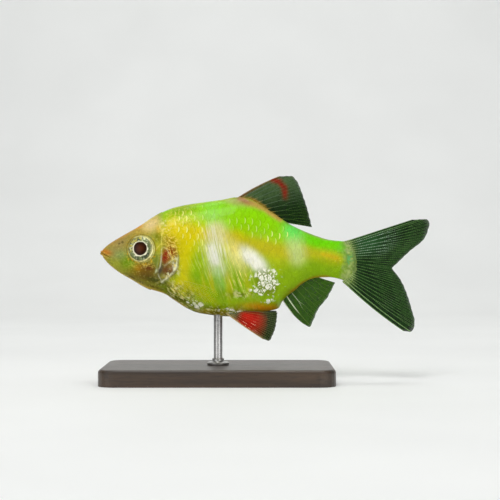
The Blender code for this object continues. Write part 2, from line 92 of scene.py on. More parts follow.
TAIL_END_EDGE = [
    (44.7, 3.2), (45.1, 1.7), (46.0, 0.0), (46.4, -2.2), (46.1, -4.4), (45.2, -6.1),
    (44.5, -7.6),
]

# Skin
SKIN_SIDES = 256
HEAD_SKIN_SUNK = 0.03
TRUNK_SKIN_SUNK = 0.12
NAPE_EDGE = 11.3

# Head
GILL_EDGE = [
    (10.6, 11.0), (11.0, 7.5), (11.5, 5.1), (12.2, 2.7), (13.6, 1.0), (14.4, -1.1),
    (14.2, -3.0), (13.1, -4.6), (11.2, -6.1), (9.3, -7.05), (8.1, -9.5),
]
CHEEK_EDGE = [
    (11.3, 3.4), (11.2, 1.9), (11.15, 0.4), (10.65, -1.8), (10.2, -3.9), (9.3, -5.0),
    (7.6, -5.5),
]
EYE_AT = (7.56, 0.2)
EYE_SIDE = -2.72
IRIS_RADIUS = 2.17
EYE_RADIUS = 2.4
ORBIT_DEPTH = 1.1
EYE_TURN_FORWARD = math.radians(9)
EYE_TURN_UP = math.radians(6)
PUPIL_AT = (-0.1, 0.04)
PUPIL_RADIUS = 1.23
NOSTRILS = [(3.45, 1.15, 0.2), (4.05, 1.42, 0.26)]
MOUTH_NOTCH = (0.1, -0.53)
MOUTH_CORNER = (1.85, -1.37)

# Scales
SCALE_STEP = 1.4
SCALE_ROW = 1.2
SCALE_LENGTH = 1.62
SCALE_HEIGHT = 1.12
SCALE_THICK = 0.014
SCALE_RISE = 0.022
SCALE_GRID = 10
ROOT_PATCH = 0.003

# Fins
MEMBRANE_HALF = 0.035
FIN_SUNK = 0.6


def smooth_line(table):
    """A smooth curve through the table that doesn't overshoot between its points."""
    x = np.array([row[0] for row in table])
    y = np.array([row[1] for row in table])
    step = np.diff(x)
    slope = np.diff(y) / step
    tangent = np.empty_like(y)
    tangent[0] = slope[0]
    tangent[-1] = slope[-1]
    for i in range(1, len(x) - 1):
        if slope[i - 1] * slope[i] <= 0:
            tangent[i] = 0
            continue
        before = 2 * step[i] + step[i - 1]
        after = step[i] + 2 * step[i - 1]
        tangent[i] = (before + after) / (before / slope[i - 1] + after / slope[i])

    def at(value):
        value = np.clip(value, x[0], x[-1])
        i = np.clip(np.searchsorted(x, value) - 1, 0, len(x) - 2)
        t = (value - x[i]) / step[i]
        rise = (3 - 2 * t) * t * t
        bend = t * (1 - t) * step[i]
        return y[i] + (y[i + 1] - y[i]) * rise + bend * (tangent[i] * (1 - t) - tangent[i + 1] * t)

    return at


back_height = smooth_line(BACK_LINE)
belly_height = smooth_line(BELLY_LINE)
half_width = smooth_line(WIDTH_LINE)


def rounded_path(points, count):
    """Evenly numbered points on a smooth path through the given ones."""
    points = np.array(points, float)
    away = np.linalg.norm(np.diff(points, axis=0), axis=1)
    reach = np.concatenate([[0], np.cumsum(away)])
    axes = [smooth_line(list(zip(reach, column))) for column in points.T]
    places = np.linspace(0, reach[-1], count)
    return np.stack([axis(places) for axis in axes], axis=1)


def fullness(along):
    share = np.clip(along / HEAD_LENGTH, 0, 1)
    return HEAD_FULLNESS + (TRUNK_FULLNESS - HEAD_FULLNESS) * share * share


def body_surface(along, turn):
    """Side and height on the body's surface: turn 0 is the back, a quarter turn the left flank."""
    top = back_height(along)
    bottom = belly_height(along)
    middle = bottom + (top - bottom) * WIDEST_AT
    power = 2 / fullness(along)
    cosine = np.cos(turn)
    sine = np.sin(turn)
    reach = np.where(cosine > 0, top - middle, middle - bottom)
    side = -half_width(along) * np.sign(sine) * np.abs(sine) ** power
    height = middle + reach * np.sign(cosine) * np.abs(cosine) ** power
    return side, height


def flank(along, height):
    """Half width of the body at this place and height."""
    top = back_height(along)
    bottom = belly_height(along)
    middle = bottom + (top - bottom) * WIDEST_AT
    reach = np.where(height > middle, top - middle, middle - bottom)
    share = np.clip(np.abs(height - middle) / reach, 0, 1)
    power = fullness(along)
    return half_width(along) * (1 - share ** power) ** (1 / power)


def in_frame(points):
    """Places of the fish, in the frame and in metres."""
    moved = np.array(points, float)
    moved[..., 0] += SNOUT_X
    moved[..., 2] += AXIS_Z
    return moved * MM


def bump_of(distance, width):
    """A rounded ridge, 1 on its line and 0 well away from it."""
    return np.exp(-(distance / width) ** 2)


def step_of(value, start, end):
    """A smooth rise from 0 at the start to 1 at the end."""
    share = np.clip((value - start) / (end - start), 0, 1)
    return share * share * (3 - 2 * share)


def line_distance(along, height, points):
    """Distance to a line of points seen from the side, and its sign: positive behind it."""
    nearest = np.full(np.shape(along), np.inf)
    signed = np.zeros(np.shape(along))
    for (a, b), (c, d) in zip(points[:-1], points[1:]):
        run = (c - a, d - b)
        share = ((along - a) * run[0] + (height - b) * run[1]) / (run[0] ** 2 + run[1] ** 2)
        share = np.clip(share, 0, 1)
        away = np.hypot(along - a - share * run[0], height - b - share * run[1])
        turn = run[0] * (height - b) - run[1] * (along - a)
        closer = away < nearest
        nearest = np.where(closer, away, nearest)
        signed = np.where(closer, np.sign(turn) * away, signed)
    return nearest, signed


def grain(points, size, seed):
    """Smooth random values from 0 to 1 that vary over this size."""
    cell = np.asarray(points) / size
    base = np.floor(cell).astype(np.int64)
    part = cell - base
    part = part * part * (3 - 2 * part)
    total = np.zeros(part.shape[:-1])
    for corner in itertools.product((0, 1), repeat=3):
        index = base + np.array(corner)
        mixed = index[..., 0] * 73856093 ^ index[..., 1] * 19349663 ^ index[..., 2] * 83492791
        mixed = (mixed + seed * 7919) & 0x7FFFFFFF
        mixed = (mixed ^ (mixed >> 13)) * 1274126177 & 0x7FFFFFFF
        value = ((mixed ^ (mixed >> 16)) & 0xFFFF) / 65535
        weight = np.prod(np.where(corner, part, 1 - part), axis=-1)
        total = total + weight * value
    return total


def linear(colour):
    """A colour named in 0 to 255 as the shader's linear value."""
    share = np.array(colour, float) / 255
    return np.where(share <= 0.04045, share / 12.92, ((share + 0.055) / 1.055) ** 2.4)


GILL_LINE = rounded_path(GILL_EDGE, 60)
CHEEK_LINE = rounded_path(CHEEK_EDGE, 40)


# Markings: colour, centre, half size along and up, tilt in degrees, strength and softness
HEAD_MARKS = [
    ((160, 136, 76), (3.6, 1.3), (3.6, 1.7), 35, 0.9, 1.0),
    ((192, 140, 70), (4.6, 2.9), (4.2, 0.45), 32, 0.75, 1.2),
    ((224, 146, 50), (7.3, 4.35), (1.1, 0.5), 32, 0.9, 1.0),
    ((196, 158, 70), (7.6, 3.3), (1.9, 0.7), 10, 0.7, 1.0),
    ((224, 198, 118), (9.2, 4.7), (1.6, 1.4), 38, 1.0, 1.8),
    ((232, 206, 150), (9.2, 4.6), (1.0, 0.5), 32, 0.7, 1.0),
    ((226, 176, 70), (10.6, 3.7), (0.4, 0.7), 0, 0.7, 1.0),
    ((206, 118, 34), (1.15, -0.5), (1.35, 0.5), -17, 0.95, 1.2),
    ((196, 152, 56), (0.9, -1.3), (1.0, 0.5), -45, 0.7, 1.0),
    ((136, 154, 84), (3.6, -0.9), (1.6, 0.85), 10, 0.85, 1.0),
    ((110, 148, 0), (5.1, -2.4), (1.4, 1.2), -25, 0.95, 1.3),
    ((156, 160, 44), (2.6, -2.7), (1.8, 0.6), -42, 0.85, 1.0),
    ((208, 150, 6), (7.2, -3.5), (0.85, 0.75), 0, 0.95, 1.0),
    ((134, 116, 8), (6.2, -4.2), (1.3, 0.8), -30, 0.8, 1.0),
    ((104, 56, 6), (8.9, -3.3), (1.6, 1.0), -8, 1.0, 1.2),
    ((106, 68, 12), (8.5, -4.8), (2.0, 1.0), -14, 0.9, 1.2),
    ((62, 70, 14), (10.1, -5.6), (2.0, 0.6), -15, 0.9, 1.0),
    ((112, 120, 4), (10.55, 2.2), (0.5, 0.95), 0, 0.95, 1.8),
    ((192, 188, 30), (10.6, 0.4), (0.55, 1.1), 6, 0.9, 1.0),
    ((116, 134, 40), (10.4, -1.9), (0.6, 1.5), 8, 0.9, 1.0),
    ((222, 202, 20), (12.1, 3.6), (1.2, 1.2), 10, 0.9, 1.2),
    ((172, 144, 6), (12.7, 1.5), (1.3, 0.95), -20, 0.9, 1.4),
    ((146, 76, 6), (13.2, -0.3), (0.95, 1.25), 0, 1.0, 1.3),
    ((144, 32, 4), (12.1, -1.2), (0.74, 1.5), -6, 1.0, 2.0),
    ((98, 72, 32), (12.4, -3.7), (1.5, 1.3), 25, 1.0, 1.6),
    ((146, 108, 50), (13.1, -3.0), (0.7, 0.6), 20, 0.8, 1.0),
    ((120, 62, 30), (12.0, -3.6), (0.6, 0.6), 20, 0.6, 1.0),
    # Painted shade: a dark grey streak in the groove between the cheek plate and the gill cover.
    ((70, 66, 58), (11.0, -3.7), (0.35, 1.3), -22, 0.85, 1.2),
]
HEAD_LINES = [
    ((232, 222, 100), [(11.3, 3.3), (11.25, 1.6), (11.2, 1.0)], 0.1, 0.95),
    ((232, 216, 90), [(10.3, 0.2), (11.0, 1.0), (11.9, 1.05), (12.6, 0.7)], 0.1, 0.9),
    ((236, 222, 150), [(11.25, -0.6), (11.3, 0.3), (11.8, 0.5), (12.3, 0.1), (12.8, -1.0), (13.3, -1.7)],
     0.1, 0.95),
    ((222, 216, 170), [(13.4, -1.7), (12.6, -2.3), (11.9, -2.8)], 0.11, 0.8),
    ((206, 200, 170), [(11.3, -0.6), (11.25, -1.9), (11.0, -3.0), (10.5, -3.9)], 0.1, 0.85),
    ((240, 240, 206), [(13.95, -2.3), (13.4, -3.8), (12.4, -4.95), (11.2, -5.75)], 0.12, 0.9),
    ((206, 200, 170), [(10.6, -4.4), (10.9, -5.1), (11.3, -5.7)], 0.1, 0.7),
    ((84, 60, 8), [(4.6, -4.3), (7.8, -6.05), (11.2, -7.2)], 0.22, 0.75),
    ((200, 166, 56), [(1.0, -2.35), (3.4, -4.2), (7.7, -6.55), (11.4, -7.85), (15.5, -10.4)], 0.24, 1.0),
]
BODY_MARKS = [
    ((226, 206, 4), (15.4, 2.5), (3.4, 3.2), -15, 0.95, 1.3),
    ((232, 204, 14), (13.2, 4.6), (1.4, 1.4), 20, 0.8, 1.0),
    ((146, 222, 66), (20.4, 7.2), (1.35, 1.9), 0, 0.7, 1.1),
    ((126, 160, 0), (14.7, 7.1), (3.0, 1.0), 14, 0.8, 1.2),
    ((104, 234, 96), (35.0, 3.4), (1.7, 1.5), -30, 0.9, 1.2),
    ((210, 196, 0), (15.2, -2.2), (1.35, 5.2), 0, 0.85, 1.3),
    ((136, 188, 0), (18.0, -2.8), (1.1, 3.4), 0, 0.6, 1.2),
    ((224, 208, 10), (15.6, -6.6), (3.0, 1.1), -18, 0.85, 1.0),
    ((240, 234, 140), (24.8, -1.0), (1.3, 2.6), 25, 0.95, 1.2),
    ((226, 200, 80), (24.7, 0.4), (0.9, 0.8), 0, 0.5, 1.0),
    ((240, 236, 196), (26.6, -1.0), (0.9, 1.3), 30, 0.65, 1.2),
    ((255, 253, 238), (28.1, -1.9), (1.25, 3.0), 45, 1.0, 1.8),
    ((186, 142, 44), (25.0, -11.3), (5.0, 0.5), -3, 0.6, 1.2),
    ((216, 140, 16), (29.4, -10.5), (3.2, 0.75), -6, 0.85, 1.2),
    ((190, 196, 120), (17.0, -9.8), (1.6, 0.8), -25, 0.5, 1.0),
    ((180, 205, 150), (33.0, -10.1), (0.6, 0.6), 0, 0.8, 1.0),
    ((72, 84, 0), (13.6, -8.3), (3.0, 0.8), -38, 0.85, 1.2),
    ((66, 62, 10), (12.5, -6.4), (1.3, 0.45), -30, 0.6, 1.0),
    ((176, 168, 104), (24.6, 8.7), (2.2, 0.7), -8, 0.75, 1.2),
    ((150, 100, 62), (25.8, 9.2), (1.6, 0.65), -22, 0.85, 1.2),
]
BODY_LINES = [
    ((222, 200, 0), [(12.5, 2.6), (18.0, 3.1), (24.5, 1.9)], 1.5, 0.85),
    ((202, 186, 0), [(24.5, 1.9), (30.0, 0.5), (36.0, -0.7)], 1.5, 0.8),
    ((196, 186, 0), [(37.0, -0.3), (40.5, -0.9), (43.2, -1.5)], 1.25, 0.75),
    ((216, 172, 0), [(40.4, -0.8), (43.0, -1.5)], 0.5, 0.45),
    ((168, 122, 30), [(34.7, -7.8), (36.6, -6.1), (38.6, -5.1), (41.5, -4.9)], 0.3, 0.7),
    ((160, 160, 84), [(33.6, 5.1), (36.0, 3.8), (39.0, 2.6), (43.0, 1.6)], 0.25, 0.6),
    ((196, 200, 84), [(13.0, 7.5), (18.7, 8.6), (24.0, 9.4)], 0.25, 0.6),
    ((194, 216, 122), [(35.3, 1.5), (35.9, -1.5)], 1.5, 0.9),
    ((220, 214, 150), [(21.2, 3.7), (21.2, 1.0)], 1.7, 0.9),
    ((216, 224, 176), [(20.4, 0.5), (21.0, -1.8), (21.6, -3.4)], 1.4, 0.8),
    ((240, 238, 224), [(20.3, 0.2), (20.8, -1.3), (21.1, -2.0)], 0.75, 0.8),
    ((152, 208, 92), [(21.5, -3.8), (22.0, -6.2)], 0.9, 0.55),
    ((172, 132, 60), [(23.9, 0.2), (24.6, -0.5), (25.1, -1.4)], 0.2, 0.55),
    ((208, 160, 84), [(25.6, 9.1), (28.5, 8.3), (30.3, 7.2), (32.7, 5.6)], 0.62, 0.9),
    ((166, 138, 14), [(17.6, -11.2), (20.8, -11.7), (24.0, -11.8)], 0.5, 0.7),
]
BACK_GREEN = (136, 218, 4)
UPPER_GREEN = (152, 216, 2)
FLANK_GOLD = (182, 198, 0)
LOWER_GREEN = (142, 182, 0)
BELLY_GREEN = (122, 134, 4)
STALK_TOP = (108, 214, 4)
STALK_MIDDLE = (164, 198, 0)
STALK_LOW = (134, 176, 0)
GILL_RIM = (246, 246, 200)


def mark_weight(along, height, centre, size, tilt, softness):
    """How much of a rounded, tilted mark covers each place."""
    lean = math.radians(tilt)
    x = along - centre[0]
    z = height - centre[1]
    first = (x * math.cos(lean) + z * math.sin(lean)) / size[0]
    second = (z * math.cos(lean) - x * math.sin(lean)) / size[1]
    return np.exp(-((first ** 2 + second ** 2) ** softness) * 0.8)


def cover(colours, colour, weight):
    weight = np.clip(weight, 0, 1)[..., None]
    return colours * (1 - weight) + linear(colour) * weight


def base_colours(along, height):
    """The ground colour from the back down to the belly, and from the trunk to the stalk."""
    top = back_height(along)
    bottom = belly_height(along)
    level = np.clip((height - bottom) / (top - bottom), 0, 1)
    stalk = step_of(along, 33.5, 38.5)[..., None]
    levels = [0.0, 0.12, 0.34, 0.56, 0.76, 1.0]
    trunk_row = [BELLY_GREEN, LOWER_GREEN, LOWER_GREEN, FLANK_GOLD, UPPER_GREEN, BACK_GREEN]
    stalk_row = [STALK_LOW, STALK_LOW, STALK_LOW, STALK_MIDDLE, STALK_TOP, STALK_TOP]
    rows = []
    for row in (trunk_row, stalk_row):
        named = np.array([linear(colour) for colour in row])
        rows.append(np.stack([np.interp(level, levels, axis) for axis in named.T], axis=-1))
    return rows[0] * (1 - stalk) + rows[1] * stalk


def striped(colours, points):
    """Broad soft stripes of gold and deeper green down the lower flank."""
    along = points[..., 0]
    height = points[..., 2]
    drawn = np.stack([along + 0.2 * height, 0.2 * points[..., 1], 0.14 * height], axis=-1)
    stripes = grain(drawn, 0.8, 87)
    low = mark_weight(along, height, (21.0, -6.0), (7.5, 3.4), -4, 1.4)
    colours = cover(colours, (200, 190, 4), step_of(stripes, 0.52, 0.78) * low * 0.6)
    return cover(colours, (112, 156, 0), (1 - step_of(stripes, 0.2, 0.44)) * low * 0.5)


def glittered(colours, points):
    """Olive mottling with small cream glints on the breast, the belly and behind the white patch."""
    along = points[..., 0]
    height = points[..., 2]
    share = marked(points, (
        ((15.2, -8.3), (3.4, 1.4), -36, 1.1),
        ((22.0, -11.2), (4.4, 0.9), -4, 0.8),
        ((25.6, -8.0), (2.0, 0.7), 0, 0.7),
    ), 1.2)
    belly = mark_weight(along, height, (18.2, -8.2), (3.8, 2.0), -12, 1.3)
    gold = step_of(grain(points, 0.9, 97), 0.5, 0.72)
    colours = cover(colours, (186, 184, 10), gold * belly * 0.55)
    teal = step_of(grain(points, 0.4, 99), 0.5, 0.68)
    teal = teal * mark_weight(along, height, (16.9, -8.5), (1.7, 0.8), -22, 1.2)
    colours = cover(colours, (84, 116, 60), teal * 0.7)
    dark = step_of(grain(points, 0.5, 91), 0.34, 0.6)
    colours = cover(colours, (70, 68, 4), dark * share * 0.85)
    glints = step_of(grain(points, 0.3, 93), 0.6, 0.72)
    colours = cover(colours, (244, 236, 160), glints * share)
    rim = mark_weight(along, height, (13.7, -3.0), (0.45, 1.3), 22, 1.4)
    specks = step_of(grain(points, 0.24, 95), 0.58, 0.7)
    return cover(colours, (238, 240, 214), specks * rim * 0.8)


def body_colours(points):
    """The fish's markings on its skin and scales, as linear colours."""
    along = points[..., 0]
    height = points[..., 2]
    wander = grain(points, 1.7, 3) - 0.5
    along = along + 0.4 * wander
    height = height + 0.4 * (grain(points, 1.5, 5) - 0.5)
    colours = striped(base_colours(along, height), points)
    head = 1 - step_of(along, 10.0, 12.5)
    behind = line_distance(along, height, GILL_LINE)[1]
    soft = 0.2 + 1.1 * step_of(height, 2.0, 5.5)
    head = np.maximum(head, 1 - step_of(behind / soft, -1.0, 1.0))
    colours = cover(colours, (150, 142, 52), head * 0.85)
    body = 1 - 0.9 * head
    for colour, line, width, strength in BODY_LINES:
        away = line_distance(along, height, line)[0]
        colours = cover(colours, colour, strength * np.exp(-(away / width) ** 2.4) * body)
    for colour, centre, size, tilt, strength, softness in BODY_MARKS:
        weight = mark_weight(along, height, centre, size, tilt, softness)
        colours = cover(colours, colour, strength * weight * body)
    for colour, centre, size, tilt, strength, softness in HEAD_MARKS:
        weight = mark_weight(along, height, centre, size, tilt, softness)
        colours = cover(colours, colour, strength * weight)
    broken = 0.45 + 0.55 * step_of(grain(points, 0.4, 13), 0.3, 0.65)
    for colour, line, width, strength in HEAD_LINES:
        away = line_distance(points[..., 0] + 0.12 * wander, points[..., 2], line)[0]
        colours = cover(colours, colour, strength * bump_of(away, width) * broken)
    return edge_colours(colours, points)


def edge_colours(colours, points):
    """Pale lines along the gill cover, the cheek and the rim of the eye."""
    along = points[..., 0]
    height = points[..., 2]
    broken = 0.55 + 0.45 * step_of(grain(points, 0.35, 11), 0.3, 0.7)
    signed = line_distance(along, height, GILL_LINE)[1]
    low = step_of(-height, 0.6, 2.4) * step_of(height, -6.6, -5.4)
    gaps = step_of(grain(points, 0.42, 25), 0.38, 0.6)
    colours = cover(colours, GILL_RIM, bump_of(signed + 0.22, 0.2) * low * gaps)
    flecks = step_of(grain(points, 0.26, 19), 0.5, 0.64) * bump_of(signed + 0.5, 0.42)
    low = step_of(-height, 0.6, 2.4) * step_of(height, -5.2, -4.2)
    colours = cover(colours, GILL_RIM, flecks * low)
    away, signed = line_distance(along, height, CHEEK_LINE)
    lower = step_of(-height, 0.5, 2.5) * step_of(height, -4.6, -4.0)
    colours = cover(colours, (176, 184, 120), bump_of(away, 0.1) * 0.5 * broken * lower)
    spot = mark_weight(along, height, (10.3, -3.75), (0.13, 0.3), -20, 1.0)
    colours = cover(colours, (220, 232, 190), spot * 0.8)
    out = np.hypot(along - EYE_AT[0], height - EYE_AT[1])
    around = 0.35 + 0.65 * step_of(grain(points, 0.5, 15), 0.25, 0.6)
    colours = cover(colours, (92, 66, 12), bump_of(out - EYE_RADIUS - 0.2, 0.1) * 0.6)
    behind = 0.5 + 0.5 * step_of(along - EYE_AT[0] + 0.6 * (height - EYE_AT[1]), -1.5, 1.5)
    ring = bump_of(out - EYE_RADIUS, 0.09)
    colours = cover(colours, (255, 250, 160), ring * around * behind)
    below = step_of(EYE_AT[1] - height, -1.0, 1.5)
    dots = step_of(grain(points, 0.24, 17), 0.56, 0.72) * bump_of(out - 2.8, 0.34)
    colours = cover(colours, (206, 160, 24), dots * (0.3 + 0.7 * below))
    # Painted shade: each nostril pit is filled with dark brown.
    for where, level, radius in NOSTRILS:
        painted_nostril_shade = 1 - step_of(np.hypot(along - where, height - level), radius * 0.6, radius * 1.1)
        colours = cover(colours, (66, 48, 26), painted_nostril_shade * 0.55)
    nape = step_of(grain(points, 0.34, 21), 0.55, 0.7)
    nape = nape * mark_weight(along, height, (11.7, 4.6), (0.8, 0.8), 0, 1.0)
    colours = cover(colours, (240, 232, 150), nape * 0.9)
    return tail_end_colours(glittered(colours, points), points)


def tail_end_colours(colours, points):
    """Cream and teal flecks where the body ends in the tail fin."""
    along = points[..., 0]
    height = points[..., 2]
    out = along + 0.08 * np.abs(height + 1.8) ** 1.2 + 0.9 * (grain(points, 0.8, 85) - 0.5)
    band = step_of(out, 43.4, 45.2)
    colours = cover(colours, (128, 158, 66), band * 0.85)
    cream = step_of(grain(points, 0.42, 81), 0.3, 0.75)
    colours = cover(colours, (186, 196, 128), band * cream * 0.6)
    fine = step_of(grain(points, 0.25, 83), 0.45, 0.72)
    colours = cover(colours, (90, 124, 46), band * fine * 0.4)
    teal = mark_weight(along, height, (45.5, -1.7), (0.6, 1.0), 0, 1.4)
    colours = cover(colours, (84, 186, 104), teal * fine * 0.8)
    return cover(colours, (76, 104, 56), step_of(along, 45.6, 46.3) * 0.6)


def silver_share(points):
    """Where the skin sparkles: the pale slanting patch, the belly behind it and the breast."""
    along = points[..., 0]
    height = points[..., 2]
    share = np.zeros(np.shape(along))
    for centre, size, tilt, strength in (
        ((30.2, -5.9), (1.6, 2.25), 28, 1.25),
        ((29.4, -7.3), (1.6, 0.65), 0, 1.0),
        ((16.9, -9.6), (1.6, 0.6), -26, 0.9),
        ((23.8, -11.1), (1.8, 0.5), -4, 0.7),
        ((11.8, 4.6), (0.8, 0.9), 0, 0.4),
    ):
        weight = mark_weight(along, height, centre, size, tilt, 1.0)
        share = np.maximum(share, strength * weight)
    return share


def marked(points, marks, softness):
    """The strongest of several rounded marks at each place."""
    share = np.zeros(points.shape[:-1])
    for centre, size, tilt, strength in marks:
        weight = mark_weight(points[..., 0], points[..., 2], centre, size, tilt, softness)
        share = np.maximum(share, strength * weight)
    return share


def painted_glint_share(points):
    """Where a painted highlight lies on the scales' rear edges: behind the nape and in rows on the back."""
    share = marked(points, (
        ((15.0, 5.6), (3.4, 2.8), 0, 1.1),
        ((25.4, 5.7), (3.0, 0.85), -6, 2.2),
        ((29.8, 4.1), (3.1, 0.85), -8, 1.8),
        ((17.6, 2.2), (2.4, 1.2), 0, 0.7),
    ), 1.6)
    return share * (0.5 + 0.5 * step_of(grain(points, 1.3, 23), 0.3, 0.5))


def streak_share(points):
    """Where fine yellow streaks run down the flank."""
    return marked(points, (
        ((25.3, -3.4), (1.9, 4.4), 22, 1.25),
        ((18.4, -4.0), (2.0, 3.4), 10, 0.35),
        ((23.6, -6.6), (2.0, 1.6), 0, 0.7),
    ), 1.2)


def bar_share(points):
    """Where pale lines run down the light bars and the white patch."""
    return marked(points, (
        ((20.9, 0.4), (2.2, 4.2), 12, 1.0),
        ((28.1, -2.0), (1.3, 3.0), 45, 0.4),
        ((35.8, 0.2), (1.5, 2.0), 0, 0.2),
    ), 1.4)


def net_share(points):
    """Where a fine golden network covers the gill cover and the rim below the eye."""
    return marked(points, (
        ((13.3, -0.2), (0.95, 1.6), 0, 1.0),
        ((12.6, 1.8), (1.5, 1.1), -20, 0.9),
        ((12.0, 3.6), (1.2, 1.0), 0, 0.8),
        ((14.6, 5.6), (2.6, 2.4), 0, 0.55),
        ((13.7, -2.6), (0.35, 1.2), 20, 0.7),
        ((12.0, -5.1), (1.4, 0.4), 25, 0.45),
        ((7.8, -2.75), (2.4, 0.5), 0, 0.5),
        ((15.0, -8.0), (3.0, 0.9), -33, 0.6),
    ), 1.3)


def mesh_object(name, points, faces, smooth=True):
    """A mesh of the fish from places in millimetres and lists of corners."""
    mesh = bpy.data.meshes.new(name)
    mesh.from_pydata(in_frame(points).reshape(-1, 3).tolist(), [], faces)
    if smooth:
        mesh.shade_smooth()
    obj = bpy.data.objects.new(name, mesh)
    bpy.context.scene.collection.objects.link(obj)
    return obj


def give_colours(obj, name, colours):
    """A colour at each point of the mesh."""
    count = len(obj.data.vertices)
    layer = obj.data.color_attributes.new(name, "FLOAT_COLOR", "POINT")
    flat = np.ones((count, 4), np.float32)
    flat[:, : colours.shape[-1]] = colours.reshape(count, -1)
    layer.data.foreach_set("color", flat.ravel())


def give_values(obj, name, values):
    """A number at each point of the mesh."""
    layer = obj.data.attributes.new(name, "FLOAT", "POINT")
    layer.data.foreach_set("value", np.asarray(values, np.float32).ravel())


def grid_faces(rows, columns, first=0, closed=False):
    """Quads between the points of a grid, closed round its columns if asked."""
    faces = []
    last = columns if closed else columns - 1
    for i in range(rows - 1):
        for j in range(last):
            a = first + i * columns + j
            b = first + i * columns + (j + 1) % columns
            faces.append((a, a + columns, b + columns, b))
    return faces


# Skin


def orbit_relief(along, height):
    """How far the skin goes in round the eye, and the low rim of the orbit."""
    out = np.hypot(along - EYE_AT[0], height - EYE_AT[1])
    bowl = -ORBIT_DEPTH * (1 - step_of(out, EYE_RADIUS - 0.26, EYE_RADIUS + 0.02))
    rim = 0.1 * bump_of(out - EYE_RADIUS - 0.12, 0.16)
    fold = -0.05 * bump_of(out - EYE_RADIUS - 0.55, 0.18)
    return bowl, rim + fold


def mouth_relief(along, height):
    """The slit between the jaws, the lips on each side of it and the fold behind the corner."""
    slope = (MOUTH_CORNER[1] - MOUTH_NOTCH[1]) / (MOUTH_CORNER[0] - MOUTH_NOTCH[0])
    line = MOUTH_NOTCH[1] + slope * (along - MOUTH_NOTCH[0])
    off = height - line
    near = 1 - step_of(along, MOUTH_CORNER[0] - 0.25, MOUTH_CORNER[0] + 0.15)
    slit = -0.34 * bump_of(off, 0.07) * near
    lips = 0.1 * (bump_of(off - 0.25, 0.16) + bump_of(off + 0.25, 0.16)) * near
    behind = -0.07 * (bump_of(off - 0.56, 0.1) + bump_of(off + 0.56, 0.1)) * near
    corner = [(1.75, -1.1), (2.05, -1.5), (2.3, -2.1), (2.3, -2.7)]
    fold = -0.08 * bump_of(line_distance(along, height, corner)[0], 0.11)
    jaw = [(2.3, -2.5), (4.0, -3.6), (6.0, -4.9), (8.2, -6.1)]
    crease = -0.05 * bump_of(line_distance(along, height, jaw)[0], 0.13)
    return slit + lips + behind + fold + crease


def nostril_relief(along, height):
    relief = np.zeros(np.shape(along))
    for where, level, radius in NOSTRILS:
        out = np.hypot(along - where, height - level)
        relief -= 0.2 * (1 - step_of(out, radius * 0.5, radius))
        relief += 0.035 * bump_of(out - radius - 0.07, 0.09)
    return relief


def gill_step(along, height):
    """The step down from the gill cover's rear edge, which runs out behind it."""
    below = step_of(-height, -3.4, -2.0) * step_of(height, -7.0, -6.0)
    signed = line_distance(along, height, GILL_LINE)[1]
    return -0.13 * step_of(signed, -0.12, 0.08) * (1 - step_of(signed, 0.2, 1.8)) * below


def gill_relief(along, height):
    """The plates of the gill cover: a step at the rear edge and a ridge along the cheek."""
    below = step_of(-height, -3.4, -2.0) * step_of(height, -7.0, -6.0)
    signed = line_distance(along, height, GILL_LINE)[1]
    rim = 0.06 * bump_of(signed + 0.4, 0.3)
    step = gill_step(along, height)
    cheek = line_distance(along, height, CHEEK_LINE)[1]
    ridge = 0.06 * bump_of(cheek - 0.12, 0.16) - 0.07 * bump_of(cheek + 0.14, 0.1)
    lower = [(10.6, -4.3), (11.6, -3.4), (13.4, -2.9)]
    seam = -0.05 * bump_of(line_distance(along, height, lower)[0], 0.09)
    ray_line = [(8.4, -6.3), (10.2, -5.9), (11.8, -5.1)]
    rays = -0.07 * bump_of(line_distance(along, height, ray_line)[0], 0.1)
    triangle = -0.1 * mark_weight(along, height, (11.95, -1.15), (0.5, 1.3), -6, 2.0)
    return step + (rim + ridge) * below + seam + rays + triangle


def cheek_relief(along, height):
    """The edges of the small bones below the eye and the line over the head."""
    relief = np.zeros(np.shape(along))
    for line, deep in (
        ([(4.3, -0.2), (5.2, -2.0), (6.6, -3.2), (8.2, -3.5), (9.6, -2.9), (10.4, -1.4)], 0.045),
        ([(3.0, -0.2), (4.4, -2.1), (6.0, -3.9)], 0.03),
        ([(4.6, 2.3), (6.4, 3.3), (8.4, 3.5), (10.4, 3.1)], 0.035),
        ([(6.0, -3.2), (6.6, -4.6)], 0.03),
        ([(8.4, -3.5), (8.7, -5.0)], 0.03),
    ):
        relief -= deep * bump_of(line_distance(along, height, line)[0], 0.12)
    return relief


def skin_rings():
    """Where the skin's rings stand: closest at the lips, then the head, then the trunk."""
    return np.concatenate([
        np.arange(0, 1.5, 0.045), np.arange(1.5, 14.6, 0.09), np.arange(14.6, FLESH_END, 0.19),
        [FLESH_END],
    ])


def surface_normals(grid):
    """Outward directions of a grid that is closed round its columns."""
    down = np.gradient(grid, axis=0)
    round_it = np.roll(grid, -1, axis=1) - np.roll(grid, 1, axis=1)
    normal = np.cross(round_it, down)
    length = np.linalg.norm(normal, axis=-1, keepdims=True)
    return normal / np.maximum(length, 1e-9)


def tail_end_at():
    edge = rounded_path(TAIL_END_EDGE, 40)[::-1]
    return lambda height: np.interp(height, edge[:, 1], edge[:, 0])


